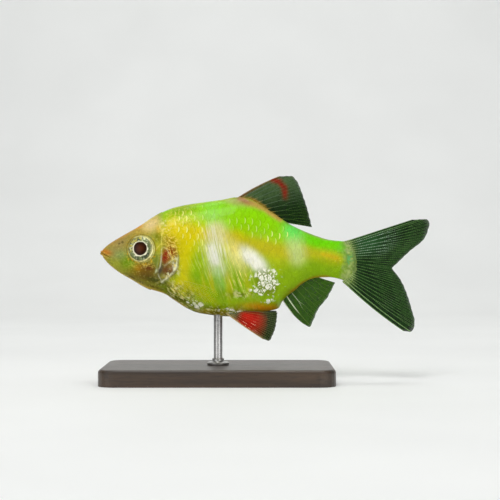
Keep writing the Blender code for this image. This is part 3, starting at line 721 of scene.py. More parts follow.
def skin_grid():
    """The bare form: a rounded front, rings along the body and an end that fits the tail's root."""
    turns = np.linspace(0, 2 * math.pi, SKIN_SIDES, endpoint=False)
    rings = []
    for share in (0.12, 0.3, 0.5, 0.68, 0.84, 0.95):
        side, height = body_surface(np.zeros(SKIN_SIDES), turns)
        centre = height.mean()
        along = np.full(SKIN_SIDES, -0.12 * (1 - share ** 2))
        rings.append(np.stack([along, side * share, centre + (height - centre) * share], axis=1))
    end_at = tail_end_at()
    for place in skin_rings():
        along = np.full(SKIN_SIDES, place)
        side, height = body_surface(along, turns)
        near_end = max(place - TAIL_BEND_START, 0) / (FLESH_END - TAIL_BEND_START)
        along = along + near_end ** 2 * (end_at(height) - FLESH_END)
        rings.append(np.stack([along, side, height], axis=1))
    last = rings[-1]
    for turn in np.radians([18, 36, 52, 66, 78, 90]):
        ring = last.copy()
        ring[:, 0] += 0.55 * math.sin(turn)
        ring[:, 1] *= max(math.cos(turn), 0.06)
        ring[:, 2] = last[:, 2].mean() + (last[:, 2] - last[:, 2].mean()) * 0.995
        rings.append(ring)
    return np.array(rings)


def make_skin():
    """One closed skin from the lips to the root of the tail fin, on both sides."""
    grid = skin_grid()
    normals = surface_normals(grid)
    along = grid[..., 0]
    height = grid[..., 2]
    off_back = np.abs(grid[..., 1]) > 0.35 * flank(np.clip(along, 0, 47), height)
    behind = step_of(line_distance(along, height, GILL_LINE)[1], -0.05, 0.1)
    sunk = HEAD_SKIN_SUNK + (TRUNK_SKIN_SUNK - HEAD_SKIN_SUNK) * behind
    bowl, rim = orbit_relief(along, height)
    relief = rim + mouth_relief(along, height) + nostril_relief(along, height)
    relief += gill_relief(along, height) + cheek_relief(along, height)
    relief += 0.018 * (grain(grid, 0.5, 31) - 0.5) * (1 - behind)
    moved = grid + normals * (relief * off_back - sunk)[..., None]
    moved[..., 1] += bowl * np.sign(-moved[..., 1]) * -1 * off_back
    rows, columns = moved.shape[:2]
    faces = grid_faces(rows, columns, closed=True)
    points = moved.reshape(-1, 3)
    tip = points[:columns].mean(axis=0)
    end = points[-columns:].mean(axis=0)
    points = np.vstack([points, tip, end])
    last = (rows - 1) * columns
    for j in range(columns):
        faces.append((len(points) - 2, j, (j + 1) % columns))
        faces.append((len(points) - 1, last + (j + 1) % columns, last + j))
    skin = mesh_object("body_skin", points, faces)
    give_colours(skin, "tint", body_colours(points))
    give_values(skin, "silver", silver_share(points))
    give_values(skin, "streak", streak_share(points))
    give_values(skin, "bar", bar_share(points))
    give_values(skin, "net", net_share(points))
    return skin


# Scales


class Wrap:
    """Finds places on the body from a distance round it, up or down from the widest line."""

    def __init__(self):
        self.first = 8.0
        self.step = 0.1
        stations = np.arange(self.first, 47.4, self.step)
        turns = np.linspace(-0.6 * math.pi, 1.6 * math.pi, 1600)
        self.low = -20.0
        self.fine = 0.05
        lengths = np.arange(self.low, 20.0, self.fine)
        self.turns = np.empty((len(stations), len(lengths)))
        self.back = np.empty(len(stations))
        self.belly = np.empty(len(stations))
        for k, station in enumerate(stations):
            side, height = body_surface(np.full(turns.shape, station), turns)
            run = np.hypot(np.diff(side), np.diff(height))
            reach = np.concatenate([[0], np.cumsum(run)])
            reach -= np.interp(math.pi / 2, turns, reach)
            self.turns[k] = np.interp(lengths, reach, turns)
            self.back[k] = np.interp(0, turns, reach)
            self.belly[k] = np.interp(math.pi, turns, reach)
        self.stations = stations

    def turn(self, along, reach):
        """The turn at this distance from the widest line, negative towards the back."""
        row = np.clip((along - self.first) / self.step, 0, len(self.stations) - 1.001)
        column = np.clip((reach - self.low) / self.fine, 0, self.turns.shape[1] - 1.001)
        i = row.astype(int)
        j = column.astype(int)
        u = row - i
        v = column - j
        upper = self.turns[i, j] * (1 - v) + self.turns[i, j + 1] * v
        lower = self.turns[i + 1, j] * (1 - v) + self.turns[i + 1, j + 1] * v
        return upper * (1 - u) + lower * u

    def points(self, along, reach, lift):
        """Places on the left flank this far out from the body's surface."""
        turn = self.turn(along, reach)
        here = np.stack([along, *body_surface(along, turn)], axis=-1)
        behind = np.stack([along + 0.05, *body_surface(along + 0.05, turn)], axis=-1)
        lower = np.stack([along, *body_surface(along, turn + 0.02)], axis=-1)
        normal = np.cross(lower - here, behind - here)
        normal /= np.maximum(np.linalg.norm(normal, axis=-1, keepdims=True), 1e-9)
        return here + normal * lift[..., None]


def row_spacing(wrap, along):
    """Distance between rows: closer where the body is slimmer."""
    k = np.clip(((along - wrap.first) / wrap.step).astype(int), 0, len(wrap.stations) - 1)
    girth = wrap.belly[k] - wrap.back[k]
    return SCALE_ROW * (girth / 23.5) ** 0.5


def scale_roots(wrap):
    """Root place, size and row of each scale of one side."""
    roots = []
    end_at = tail_end_at()
    along = 8.2
    while along < 46.6:
        step = SCALE_STEP * (1 - 0.28 * float(step_of(np.array(along), 30, 46)))
        for row in range(-13, 14):
            place = along + (step / 2 if row % 2 else 0)
            k = int(np.clip((place - wrap.first) / wrap.step, 0, len(wrap.stations) - 1))
            spacing = float(row_spacing(wrap, np.array([place]))[0])
            reach = row * spacing
            if reach < wrap.back[k] + 0.42 * spacing or reach > wrap.belly[k] - 0.42 * spacing:
                continue
            turn = wrap.turn(np.array([place]), np.array([reach]))
            height = float(body_surface(np.array([place]), turn)[1][0])
            behind = float(line_distance(np.array(place), np.array(height), GILL_LINE)[1])
            if behind < 0.02 or place + step > float(end_at(height)) - 0.1:
                continue
            roots.append((place, reach, spacing, step, row, behind))
        for ridge in (wrap.back, wrap.belly):
            k = int(np.clip((along - wrap.first) / wrap.step, 0, len(wrap.stations) - 1))
            spacing = float(row_spacing(wrap, np.array([along]))[0])
            upper = ridge is wrap.back
            skip = 23.2 < along < 32.6 if upper else 31.4 < along < 38.4
            if skip or along < (11.2 if upper else 12.0) or along > 44.0:
                continue
            behind = along - NAPE_EDGE if upper else 9.0
            roots.append((along, float(ridge[k]), spacing, step, 99, behind))
        along += step
    return roots


def scale_shape():
    """Places on one scale: from root to rear edge and from side to side, both as shares."""
    down = np.linspace(0, 1, SCALE_GRID)
    across = np.linspace(-1, 1, SCALE_GRID + 1)
    t, y = np.meshgrid(down, across, indexing="ij")
    rear = 1 - 0.42 * np.abs(y) ** 2.3
    x = t * rear
    width = 0.72 + 0.28 * np.sqrt(t)
    return x, y * width, t, y


def make_scales(name, side, wrap):
    """The scales of one side as thin closed plates whose rear edges lie over the next."""
    rng = np.random.default_rng(7 if side < 0 else 8)
    x, y, t, around = scale_shape()
    rows, columns = x.shape
    count = rows * columns
    top_faces = np.array(grid_faces(rows, columns))
    rim = [*range(columns), *range(2 * columns - 1, count, columns)]
    rim += [*range(count - 2, count - columns - 1, -1), *range(count - 2 * columns, 0, -columns)]
    rim = np.array(rim)
    following = np.roll(rim, -1)
    edge_faces = np.stack([rim, rim + count, following + count, following], axis=1)
    one = np.vstack([top_faces, top_faces[:, ::-1] + count, edge_faces[:, ::-1]])
    points = []
    faces = []
    patches = []
    values = {"edge": [], "painted_glint": [], "across": [], "luck": []}
    for place, reach, spacing, step, row, behind in scale_roots(wrap):
        if row == 99 and side > 0:
            continue
        length = SCALE_LENGTH * step * rng.uniform(0.97, 1.04)
        half = SCALE_HEIGHT * spacing * rng.uniform(0.97, 1.03)
        tilt = rng.uniform(-0.05, 0.05)
        x_mm = x * length
        along = place + x_mm + tilt * y * half
        lateral = reach + y * half * (1 if row != 99 else 0.9) + 0.04 * x_mm * tilt
        front = float(step_of(np.array(behind), 0.0, 2.2))
        rise = SCALE_RISE * (0.45 + 0.55 * front) * rng.uniform(0.92, 1.1)
        lift = -TRUNK_SKIN_SUNK - 0.012 + rise * x_mm
        lift = lift - 0.03 * np.abs(around) ** 2 * (1 - 0.5 * t)
        lift = lift + 0.006 * np.sin(math.pi * t)
        if row == 99:
            lift = lift + 0.03
        if behind < 4.0:
            bare = wrap.points(along, lateral, lift)
            near = step_of(t, 0.0, 0.35)
            lift = lift + gill_step(bare[..., 0], bare[..., 2]) - 0.03 * (1 - near) * (1 - front)
        edge_thin = 1 - 0.6 * t ** 6
        outer = wrap.points(along, lateral, lift + SCALE_THICK * edge_thin)
        inner = wrap.points(along, lateral, lift)
        both = np.concatenate([outer.reshape(-1, 3), inner.reshape(-1, 3)])
        root_turn = float(wrap.turn(np.array([place]), np.array([reach]))[0])
        if side > 0:
            both[:, 1] *= -1
        faces.append((one if side < 0 else one[:, ::-1]) + len(points) * 2 * count)
        points.append(both)
        across_it = root_turn / (2 * math.pi) % 1.0
        patches.append((place / 48, across_it if side < 0 else (1 - across_it) % 1.0))
        # How strong the painted highlight on this scale's rear edge is.
        painted_glint = float(painted_glint_share(both[None, count // 2])[0])
        values["edge"].append(np.tile(t.ravel(), 2))
        values["painted_glint"].append(np.full(2 * count, painted_glint))
        values["across"].append(np.tile(around.ravel(), 2))
        values["luck"].append(np.full(2 * count, rng.uniform()))
    points = np.concatenate(points)
    scales = mesh_object(name, points, np.concatenate(faces).tolist())
    scales.data.set_sharp_from_angle(angle=math.radians(50))
    tint = body_colours(points)
    for key, value in values.items():
        values[key] = np.concatenate(value)
    tint = tint * (0.94 + 0.12 * values["luck"])[:, None]
    give_colours(scales, "tint", tint)
    give_values(scales, "silver", silver_share(points))
    give_values(scales, "streak", streak_share(points))
    give_values(scales, "bar", bar_share(points))
    give_values(scales, "net", net_share(points))
    for key, value in values.items():
        give_values(scales, key, value)
    give_root_patches(scales, np.array(patches), 2 * count, x, y)
    return scales


def give_root_patches(obj, patches, each, x, y):
    """Lays every scale out as a small patch at the place of its root on the skin's unwrap."""
    local = np.stack([x.ravel() - 0.5, y.ravel() / 2], axis=1)
    local = np.tile(local, (2, 1)) * ROOT_PATCH
    spots = (patches[:, None, :] + local[None]).reshape(-1, 2)
    layer = obj.data.uv_layers.new(name="OFBake")
    corners = np.empty(len(obj.data.loops), np.int32)
    obj.data.loops.foreach_get("vertex_index", corners)
    layer.data.foreach_set("uv", spots[corners].astype(np.float32).ravel())


# Fins


def sunk_line(first, last, surface, inward):
    """The root line from the first place to the last, less deep towards its rear end."""
    start, height = first
    deep = (height - float(surface(start))) * inward
    line = []
    for share in np.linspace(0, 1, 9):
        along = start + (last - start) * share
        depth = deep + (FIN_SUNK - deep) * share
        line.append((along, 0.0, float(surface(along)) + inward * depth))
    return line


def flat(points):
    """Points of a side outline in the middle plane."""
    return [(along, 0.0, height) for along, height in points]


class Fin:
    """The sheet of a fin: rays run from a root line to a tip line."""

    def __init__(self, roots, tips, bow, cup=0.0):
        self.roots = rounded_path(roots, 201)
        self.tips = rounded_path(tips, 201)
        self.bow = bow
        self.cup = cup

    def points(self, u, v, off=0.0):
        """Places at share u from the first ray to the last and v from root to tip."""
        places = np.arange(201)
        u = np.asarray(u, float)
        v = np.asarray(v, float)[..., None]
        root = np.stack([np.interp(u * 200, places, axis) for axis in self.roots.T], axis=-1)
        tip = np.stack([np.interp(u * 200, places, axis) for axis in self.tips.T], axis=-1)
        ray = tip - root
        across = np.stack([ray[..., 2], np.zeros(u.shape), -ray[..., 0]], axis=-1)
        across /= np.linalg.norm(ray, axis=-1, keepdims=True)
        arch = 4 * v * (1 - v)
        spots = root + ray * v + across * self.bow * arch * ((1 - u) ** 2)[..., None]
        spots[..., 1] += self.cup * arch[..., 0] + off
        return spots

    def lengths(self, u):
        """Length of the ray at share u."""
        one = self.points(u, np.ones(np.shape(u)))
        return np.linalg.norm(one - self.points(u, np.zeros(np.shape(u))), axis=-1)


def waves(points, seed):
    """A slight waviness across the sheet."""
    return 0.22 * (grain(points * np.array([1, 0, 1]), 3.2, seed) - 0.5)


def make_membrane(name, fin, rays, columns, rows, colours, seed, side=-1):
    """The thin sheet between the rays, its free edge notched between them."""
    rng = np.random.default_rng(seed)
    u, v = np.meshgrid(np.linspace(0, 1, columns), np.linspace(0, 1, rows), indexing="ij")
    phase = u * (rays - 1)
    notch = 0.5 - 0.5 * np.cos(2 * math.pi * phase)
    ragged = rng.uniform(0.4, 1.0, rays)[np.clip(phase.astype(int), 0, rays - 1)]
    reach = 1 - (0.1 * notch * ragged + 0.02) / fin.lengths(u)
    middle = fin.points(u, v * reach)
    spread = step_of(v, 0.05, 0.5)
    middle[..., 1] += waves(middle, seed) * spread
    thick = MEMBRANE_HALF * (1.6 - 1.2 * v)
    sheets = []
    for way in (-1, 1):
        sheet = middle.copy()
        sheet[..., 1] += way * thick
        sheets.append(sheet.reshape(-1, 3))
    points = np.concatenate(sheets)
    count = columns * rows
    faces = grid_faces(columns, rows)
    faces = [face[::-1] for face in faces] + [tuple(c + count for c in face) for face in faces]
    rim = [k * rows for k in range(columns)] + [(columns - 1) * rows + k for k in range(1, rows)]
    rim += [k * rows + rows - 1 for k in range(columns - 2, -1, -1)]
    rim += [k for k in range(rows - 2, 0, -1)]
    for a, b in zip(rim, rim[1:] + rim[:1]):
        faces.append((a, b, b + count, a + count))
    if side > 0:
        points[:, 1] *= -1
        faces = [face[::-1] for face in faces]
    obj = mesh_object(name, points, faces)
    share = np.tile(np.stack([u.ravel(), v.ravel()], axis=1), (2, 1))
    tint, cover_share = colours(points, share[:, 0], share[:, 1])
    cover_share = cover_share * (1 - 0.3 * step_of(share[:, 1], 0.93, 1.0))
    give_colours(obj, "tint", tint)
    give_values(obj, "cover", cover_share)
    return obj


def ray_branches(index, rays, fork, forks):
    """The branches of one ray: share along the fin, start and end, as functions of v."""
    centre = index / (rays - 1)
    gap = 1 / (rays - 1)
    if fork is None:
        return [(centre, [], 0.0, 1.0, 1.0)]
    branches = [(centre, [], 0.0, fork + 0.02, 1.0)]
    ends = (-1, 1) if forks == 1 else ((-1, -1), (-1, 1), (1, -1), (1, 1))
    if forks == 1:
        for sign in ends:
            branches.append((centre, [(fork, sign * 0.24 * gap)], fork, 1.0, 0.72))
        return branches
    second = fork + 0.58 * (1 - fork)
    for sign in (-1, 1):
        branches.append((centre, [(fork, sign * 0.25 * gap)], fork, second + 0.02, 0.78))
        for finer in (-1, 1):
            bends = [(fork, sign * 0.25 * gap), (second, finer * 0.1 * gap)]
            branches.append((centre, bends, second, 1.0, 0.62))
    return branches


def tube(path, radii, squash, sides=6):
    """Points and faces of a tapered round ray along a path in the fin's sheet."""
    path = np.asarray(path)
    run = np.gradient(path, axis=0)
    run /= np.maximum(np.linalg.norm(run, axis=1, keepdims=True), 1e-9)
    out = np.array([0.0, 1.0, 0.0])
    across = np.cross(run, out)
    across /= np.maximum(np.linalg.norm(across, axis=1, keepdims=True), 1e-9)
    turns = np.linspace(0, 2 * math.pi, sides, endpoint=False)
    rings = path[:, None] + radii[:, None, None] * (
        np.cos(turns)[None, :, None] * across[:, None]
        + squash * np.sin(turns)[None, :, None] * out[None, None]
    )
    faces = grid_faces(len(path), sides, closed=True)
    last = (len(path) - 1) * sides
    faces.append(tuple(range(sides - 1, -1, -1)))
    faces.append(tuple(last + k for k in range(sides)))
    return rings.reshape(-1, 3), [face[::-1] for face in faces]


def make_rays(name, fin, rays, plan, colours, seed, side=-1, wide=0.095):
    """Branching, jointed rays that stand a little proud of the sheet on both faces."""
    points = []
    faces = []
    shares = []
    start = 0
    for index in range(rays):
        fork, forks, heavy = plan(index)
        for centre, bends, begin, end, weight in ray_branches(index, rays, fork, forks):
            length = float(fin.lengths(np.array([min(max(centre, 0), 1)]))[0])
            steps = max(int(length * (end - begin) / 0.11), 6)
            v = np.linspace(begin, end, steps)
            u = np.full(steps, centre)
            for where, offset in bends:
                u = u + offset * step_of(v, where, where + 0.42 * (1 - where))
            u = np.clip(u, 0, 1)
            path = fin.points(u, v * (1 - 0.03 / length))
            path[:, 1] += waves(path, seed) * step_of(v, 0.05, 0.5)
            radius = wide * heavy * weight * (1 - 0.38 * v ** 1.4)
            radius = radius * (1 + 0.7 * (1 - step_of(v, 0.0, 0.12)))
            joint = np.arange(steps) % 3 == 2
            radius = radius * np.where(joint & (v > 0.18), 0.74, 1.0)
            radius[-1] *= 0.5
            ring, made = tube(path, radius, 0.85)
            points.append(ring)
            faces += [tuple(c + start for c in face) for face in made]
            start += len(ring)
            each = np.repeat(np.stack([u, v, joint], axis=1), 6, axis=0)
            shares.append(each)
    points = np.concatenate(points)
    shares = np.concatenate(shares)
    if side > 0:
        points[:, 1] *= -1
        faces = [face[::-1] for face in faces]
    obj = mesh_object(name, points, faces)
    tint = colours(points, shares[:, 0], shares[:, 1], shares[:, 2])
    give_colours(obj, "tint", tint)
    return obj


def blended(first, second, weight):
    weight = np.clip(weight, 0, 1)[..., None]
    return first * (1 - weight) + linear(second) * weight


def dorsal_red(points):
    """The red band that curves down from the tip of the dorsal fin."""
    line = [(31.4, 12.7), (32.6, 12.5), (33.5, 11.4), (33.7, 9.6)]
    away = line_distance(points[:, 0], points[:, 2], line)[0]
    faded = 0.3 + 0.7 * step_of(points[:, 2], 8.6, 11.0)
    broken = 0.7 + 0.3 * step_of(grain(points, 0.5, 45), 0.3, 0.6)
    return np.exp(-(away / 0.54) ** 2.2) * faded * broken


def dorsal_sheet(points, u, v):
    noise = grain(points, 0.7, 41)
    tint = np.tile(linear((18, 44, 8)), (len(points), 1))
    fine = grain(points, 0.25, 42)
    tint = blended(tint, (84, 110, 66), (1 - step_of(u, 0.15, 0.7)) * (0.35 + 0.3 * noise + 0.35 * fine))
    tint = blended(tint, (118, 66, 34), (1 - step_of(u, 0.0, 0.16)) * (1 - v) * 0.9)
    fuzzy = v + 0.07 * (grain(points, 0.9, 46) - 0.5)
    tint = blended(tint, (172, 138, 44), 1 - step_of(fuzzy, 0.03, 0.16))
    tint = blended(tint, (134, 26, 8), dorsal_red(points))
    solid = 0.93 + 0.04 * noise
    return tint, np.maximum(solid, 1 - step_of(v, 0.05, 0.16))


def dorsal_ray(points, u, v, joint):
    tint = np.tile(linear((84, 108, 80)), (len(points), 1))
    tint = blended(tint, (60, 88, 28), step_of(u, 0.4, 0.8))
    tint = blended(tint, (160, 132, 96), (1 - step_of(u, 0.0, 0.1)))
    tint = blended(tint, (196, 160, 66), 1 - step_of(v, 0.04, 0.24))
    tint = blended(tint, (160, 48, 22), dorsal_red(points) * 0.9)
    return tint * (1 - 0.35 * joint)[:, None]


def anal_sheet(points, u, v):
    noise = grain(points, 0.7, 43)
    tint = np.tile(linear((44, 84, 4)), (len(points), 1))
    tint = blended(tint, (58, 92, 18), noise * 0.5)
    tint = blended(tint, (120, 150, 16), 1 - step_of(v, 0.02, 0.14))
    solid = 0.88 + 0.05 * noise
    return tint, np.maximum(solid, 1 - step_of(v, 0.02, 0.14))


def anal_ray(points, u, v, joint):
    tint = np.tile(linear((86, 116, 42)), (len(points), 1))
    white = (1 - step_of(u, 0.2, 0.4)) * (1 - step_of(v, 0.45, 0.7))
    tint = blended(tint, (228, 236, 204), white)
    return tint * (1 - 0.25 * joint)[:, None]


def tail_sheet(points, u, v):
    noise = grain(points, 0.8, 47)
    tint = np.tile(linear((14, 40, 6)), (len(points), 1))
    tint = blended(tint, (34, 66, 26), noise * 0.6)
    teal = mark_weight(points[:, 0], points[:, 2], (48.4, 1.2), (3.0, 1.6), 10, 1.2)
    tint = blended(tint, (44, 88, 46), teal * 0.8)
    root = 1 - step_of(v + 0.08 * (noise - 0.5), 0.03, 0.14)
    tint = blended(tint, (96, 126, 62), root)
    solid = 0.93 + 0.04 * noise
    return tint, np.maximum(solid, 1 - step_of(v, 0.04, 0.16))


def tail_ray(points, u, v, joint):
    """Dull green rays: brighter along the lower edge, and dotted near the upper root."""
    lower = step_of(-points[:, 2], 1.8, 2.8)
    tint = np.tile(linear((84, 122, 62)), (len(points), 1))
    tint = blended(tint, (142, 178, 112), (1 - step_of(u, 0.04, 0.3)) * lower * 0.75)
    dots = (1 - lower) * step_of(v, 0.08, 0.16) * (1 - step_of(v, 0.5, 0.72)) * step_of(u, 0.04, 0.16)
    dots = dots * (1 - step_of(u, 0.55, 0.9)) * (0.5 + 0.5 * step_of(grain(points, 0.35, 57), 0.45, 0.6))
    tint = blended(tint, (178, 208, 182), dots * (1 - joint) * 0.7)
    tint = blended(tint, (150, 170, 104), 1 - step_of(v, 0.03, 0.18))
    tint = tint * (1 - 0.45 * joint)[:, None]
    return tint * (0.75 + 0.5 * grain(points, 0.4, 53))[:, None]


def pelvic_red(u, v):
    """The red field of the pelvic fin, which leaves its smoky tip and rear edge free."""
    start = step_of(v + 0.2 * u, 0.16, 0.4)
    return start * (1 - step_of(v + 0.12 * u, 0.52, 0.94)) * (1 - 0.75 * step_of(u, 0.7, 1.0))


def pelvic_sheet(points, u, v):
    noise = grain(points, 0.6, 59)
    tint = np.tile(linear((34, 50, 12)), (len(points), 1))
    red = pelvic_red(u, v)
    tint = blended(tint, (166, 14, 0), red)
    tint = blended(tint, (210, 26, 2), red * step_of(u, 0.2, 0.6) * (0.4 + 0.4 * noise))
    tint = blended(tint, (190, 150, 80), (1 - step_of(v + 0.4 * u, 0.12, 0.34)) * 0.85)
    solid = np.maximum(0.86 + 0.06 * noise, 0.95 * red)
    return tint, np.maximum(solid, 1 - step_of(v, 0.02, 0.14))


def pelvic_ray(points, u, v, joint):
    tint = np.tile(linear((92, 106, 62)), (len(points), 1))
    red = pelvic_red(u, v)
    tint = blended(tint, (206, 50, 18), red * 0.95)
    pale = red * (1 - step_of(u, 0.35, 0.6)) * (1 - joint) * step_of(grain(points, 0.5, 55), 0.45, 0.6)
    tint = blended(tint, (240, 190, 160), pale * 0.7)
    tint = blended(tint, (206, 180, 120), (1 - step_of(u, 0.02, 0.12)) * 0.8)
    return tint * (1 - 0.25 * joint)[:, None]


def pectoral_sheet(points, u, v):
    noise = grain(points, 0.6, 61)
    tint = np.tile(linear((170, 200, 20)), (len(points), 1))
    return tint, np.maximum(0.03 + 0.03 * noise, 0.6 * (1 - step_of(v, 0.02, 0.1)))


def pectoral_ray(points, u, v, joint):
    tint = np.tile(linear((196, 200, 40)), (len(points), 1))
    tint = blended(tint, (214, 210, 96), 1 - step_of(u, 0.0, 0.08))
    return tint * (1 - 0.15 * joint)[:, None]


# Materials


def add(tree, kind, inputs=(), **settings):
    """A shader node with its settings and its inputs, each a value or another node's output."""
    made = tree.nodes.new(kind)
    for name, value in settings.items():
        setattr(made, name, value)
    for key, value in dict(inputs).items():
        socket = made.inputs[key]
        if isinstance(value, bpy.types.NodeSocket):
            tree.links.new(value, socket)
        else:
            socket.default_value = value
    return made


def new_material(name, **sockets):
    """A material with its shader, some of whose sockets are set."""
    material = bpy.data.materials.new(name)
    material.use_nodes = True
    shader = material.node_tree.nodes["Principled BSDF"]
    for key, value in sockets.items():
        shader.inputs[key.replace("_", " ")].default_value = value
    return material, material.node_tree, shader


def millimetres(tree):
    """The place on the object in millimetres."""
    where = add(tree, "ShaderNodeTexCoord").outputs["Object"]
    scaled = add(tree, "ShaderNodeVectorMath", {0: where, 1: (1000, 1000, 1000)}, operation="MULTIPLY")
    return scaled.outputs[0]


def stretch(tree, where, times):
    """The places drawn out or squeezed along each axis."""
    return add(tree, "ShaderNodeVectorMath", {0: where, 1: times}, operation="MULTIPLY").outputs[0]


def noise(tree, where, scale, detail=2.0, rough=0.5):
    return add(
        tree, "ShaderNodeTexNoise",
        {"Vector": where, "Scale": scale, "Detail": detail, "Roughness": rough},
    ).outputs["Fac"]


def mapped(tree, value, low, high, new_low, new_high):
    return add(
        tree, "ShaderNodeMapRange",
        {0: value, 1: low, 2: high, 3: new_low, 4: new_high},
    ).outputs[0]


def number(tree, operation, first, second=0.0):
    return add(tree, "ShaderNodeMath", {0: first, 1: second}, operation=operation).outputs[0]


def mixed(tree, share, first, second, kind="MIX"):
    node = add(tree, "ShaderNodeMix", data_type="RGBA", blend_type=kind)
    for socket, value in zip((node.inputs[0], node.inputs[6], node.inputs[7]), (share, first, second)):
        if isinstance(value, bpy.types.NodeSocket):
            tree.links.new(value, socket)
        else:
            socket.default_value = value
    return node.outputs[2]


def attribute(tree, name, output="Fac"):
    return add(tree, "ShaderNodeAttribute", attribute_name=name).outputs[output]


def bump(tree, height, distance, strength=1.0, before=None):
    inputs = {"Height": height, "Distance": distance * MM, "Strength": strength}
    if before is not None:
        inputs["Normal"] = before
    return add(tree, "ShaderNodeBump", inputs).outputs["Normal"]


def flaked(tree, where, size, share, gap):
    """Bright flakes side by side, parted by thin gaps: more of them where the share is higher."""
    inputs = {"Vector": where, "Scale": size, "Randomness": 1.0}
    cells = add(tree, "ShaderNodeTexVoronoi", inputs, feature="F1").outputs["Color"]
    luck = add(tree, "ShaderNodeSeparateColor", {"Color": cells}).outputs[0]
    lit = mapped(tree, number(tree, "SUBTRACT", share, luck), 0.0, 0.12, 0, 1)
    edges = add(tree, "ShaderNodeTexVoronoi", inputs, feature="DISTANCE_TO_EDGE").outputs["Distance"]
    return number(tree, "MULTIPLY", lit, mapped(tree, edges, gap, 2.4 * gap, 0, 1))


def sparkle(tree, where, size, low, high):
    """Small bright flecks."""
    cells = add(
        tree, "ShaderNodeTexVoronoi", {"Vector": where, "Scale": size, "Randomness": 1.0},
        feature="F1",
    )
    share = add(tree, "ShaderNodeSeparateColor", {"Color": cells.outputs["Color"]}).outputs[0]
    lit = mapped(tree, share, low, high, 0, 1)
    round_off = mapped(tree, cells.outputs["Distance"], 0.2, 0.6, 1, 0)
    return number(tree, "MULTIPLY", lit, round_off)


def streaked(tree, where, lean, fine):
    """Noise drawn out down the flank, leaning back by this angle towards the belly."""
    turned = add(
        tree, "ShaderNodeVectorRotate", {"Vector": where, "Angle": math.radians(lean)},
        rotation_type="Y_AXIS",
    ).outputs[0]
    return noise(tree, stretch(tree, turned, (fine, 0.5, 0.26)), 1.0, 2, 0.5)


def jittered(tree, where, scale, amount):
    """Places pushed about by noise, so that cells lose their even shape."""
    push = add(
        tree, "ShaderNodeTexNoise", {"Vector": where, "Scale": scale, "Detail": 2.0},
    ).outputs["Color"]
    push = add(
        tree, "ShaderNodeVectorMath", {0: push, 1: (amount, amount, amount)}, operation="MULTIPLY",
    ).outputs[0]
    return add(tree, "ShaderNodeVectorMath", {0: where, 1: push}, operation="ADD").outputs[0]


def silvered(tree, where, colour):
    """White flakes in clumps with dark gaps, and the share of them."""
    silver = attribute(tree, "silver")
    shifted = jittered(tree, where, 2.2, 0.7)
    colour = mixed(tree, mapped(tree, silver, 0.25, 0.7, 0, 0.75), colour, (0.17, 0.23, 0.01, 1))
    flakes = flaked(tree, shifted, 1.15, number(tree, "MULTIPLY", silver, 0.9), 0.055)
    small = flaked(tree, shifted, 2.3, number(tree, "MULTIPLY", silver, 0.42), 0.1)
    flakes = number(tree, "MAXIMUM", flakes, small)
    broken = mapped(tree, noise(tree, where, 4.2, 3, 0.7), 0.36, 0.5, 0.55, 1.0)
    flakes = number(tree, "MULTIPLY", flakes, broken)
    return mixed(tree, flakes, colour, (1.0, 0.99, 0.84, 1)), flakes


def netted(tree, where, colour):
    """Fine bright lines of a network."""
    cells = add(
        tree, "ShaderNodeTexVoronoi", {"Vector": jittered(tree, where, 1.6, 0.9), "Scale": 1.5},
        feature="DISTANCE_TO_EDGE",
    ).outputs["Distance"]
    lines = mapped(tree, cells, 0.04, 0.16, 1, 0)
    broken = mapped(tree, noise(tree, where, 1.9, 2), 0.4, 0.55, 0.1, 1.0)
    lines = number(tree, "MULTIPLY", number(tree, "MULTIPLY", lines, broken), attribute(tree, "net"))
    pale = mixed(tree, attribute(tree, "silver"), (0.94, 0.74, 0.14, 1), (0.94, 0.95, 0.66, 1))
    return mixed(tree, lines, colour, pale)


def scale_finish(tree, colour, normal):
    """A painted highlight arc near the rear edge, a faint painted shade at the root, a thin painted shadow
    line along the rear margin and fine growth lines.
    """
    edge = attribute(tree, "edge")
    across = attribute(tree, "across")
    middle = add(tree, "ShaderNodeMath", {0: across}, operation="ABSOLUTE").outputs[0]
    middle = mapped(tree, middle, 0.26, 0.5, 1, 0)
    # Painted highlight: a pale yellow arc just inside the rear edge, strongest where the glint value is set.
    band = number(
        tree, "MULTIPLY", mapped(tree, edge, 0.85, 0.89, 0, 1), mapped(tree, edge, 0.92, 0.96, 1, 0)
    )
    lit = number(tree, "MULTIPLY", band, attribute(tree, "painted_glint"))
    chosen = mapped(tree, attribute(tree, "luck"), 0.25, 0.6, 0.25, 1)
    lit = number(tree, "MULTIPLY", number(tree, "MULTIPLY", lit, middle), chosen)
    colour = mixed(tree, lit, colour, (0.95, 0.98, 0.3, 1))
    shade = mapped(tree, edge, 0.34, 0.6, 0.96, 1.0)
    colour = mixed(tree, 1.0, colour, shade, "MULTIPLY")
    # Painted shadow: a thin dark line along each rear margin, where the scale steps onto the next one;
    # fainter over the pale bars.
    painted_edge_shade = number(
        tree, "MULTIPLY", mapped(tree, edge, 0.92, 0.98, 0, 0.26),
        mapped(tree, attribute(tree, "bar"), 0.0, 0.5, 1.0, 0.3),
    )
    colour = mixed(tree, painted_edge_shade, colour, (0.16, 0.2, 0.0, 1))
    for value, times, deep in ((across, 30.0, 0.005), (edge, 60.0, 0.003)):
        ripple = number(tree, "MULTIPLY", value, times)
        ripple = add(tree, "ShaderNodeMath", {0: ripple}, operation="SINE").outputs[0]
        normal = bump(tree, ripple, deep, 0.4, normal)
    return colour, normal


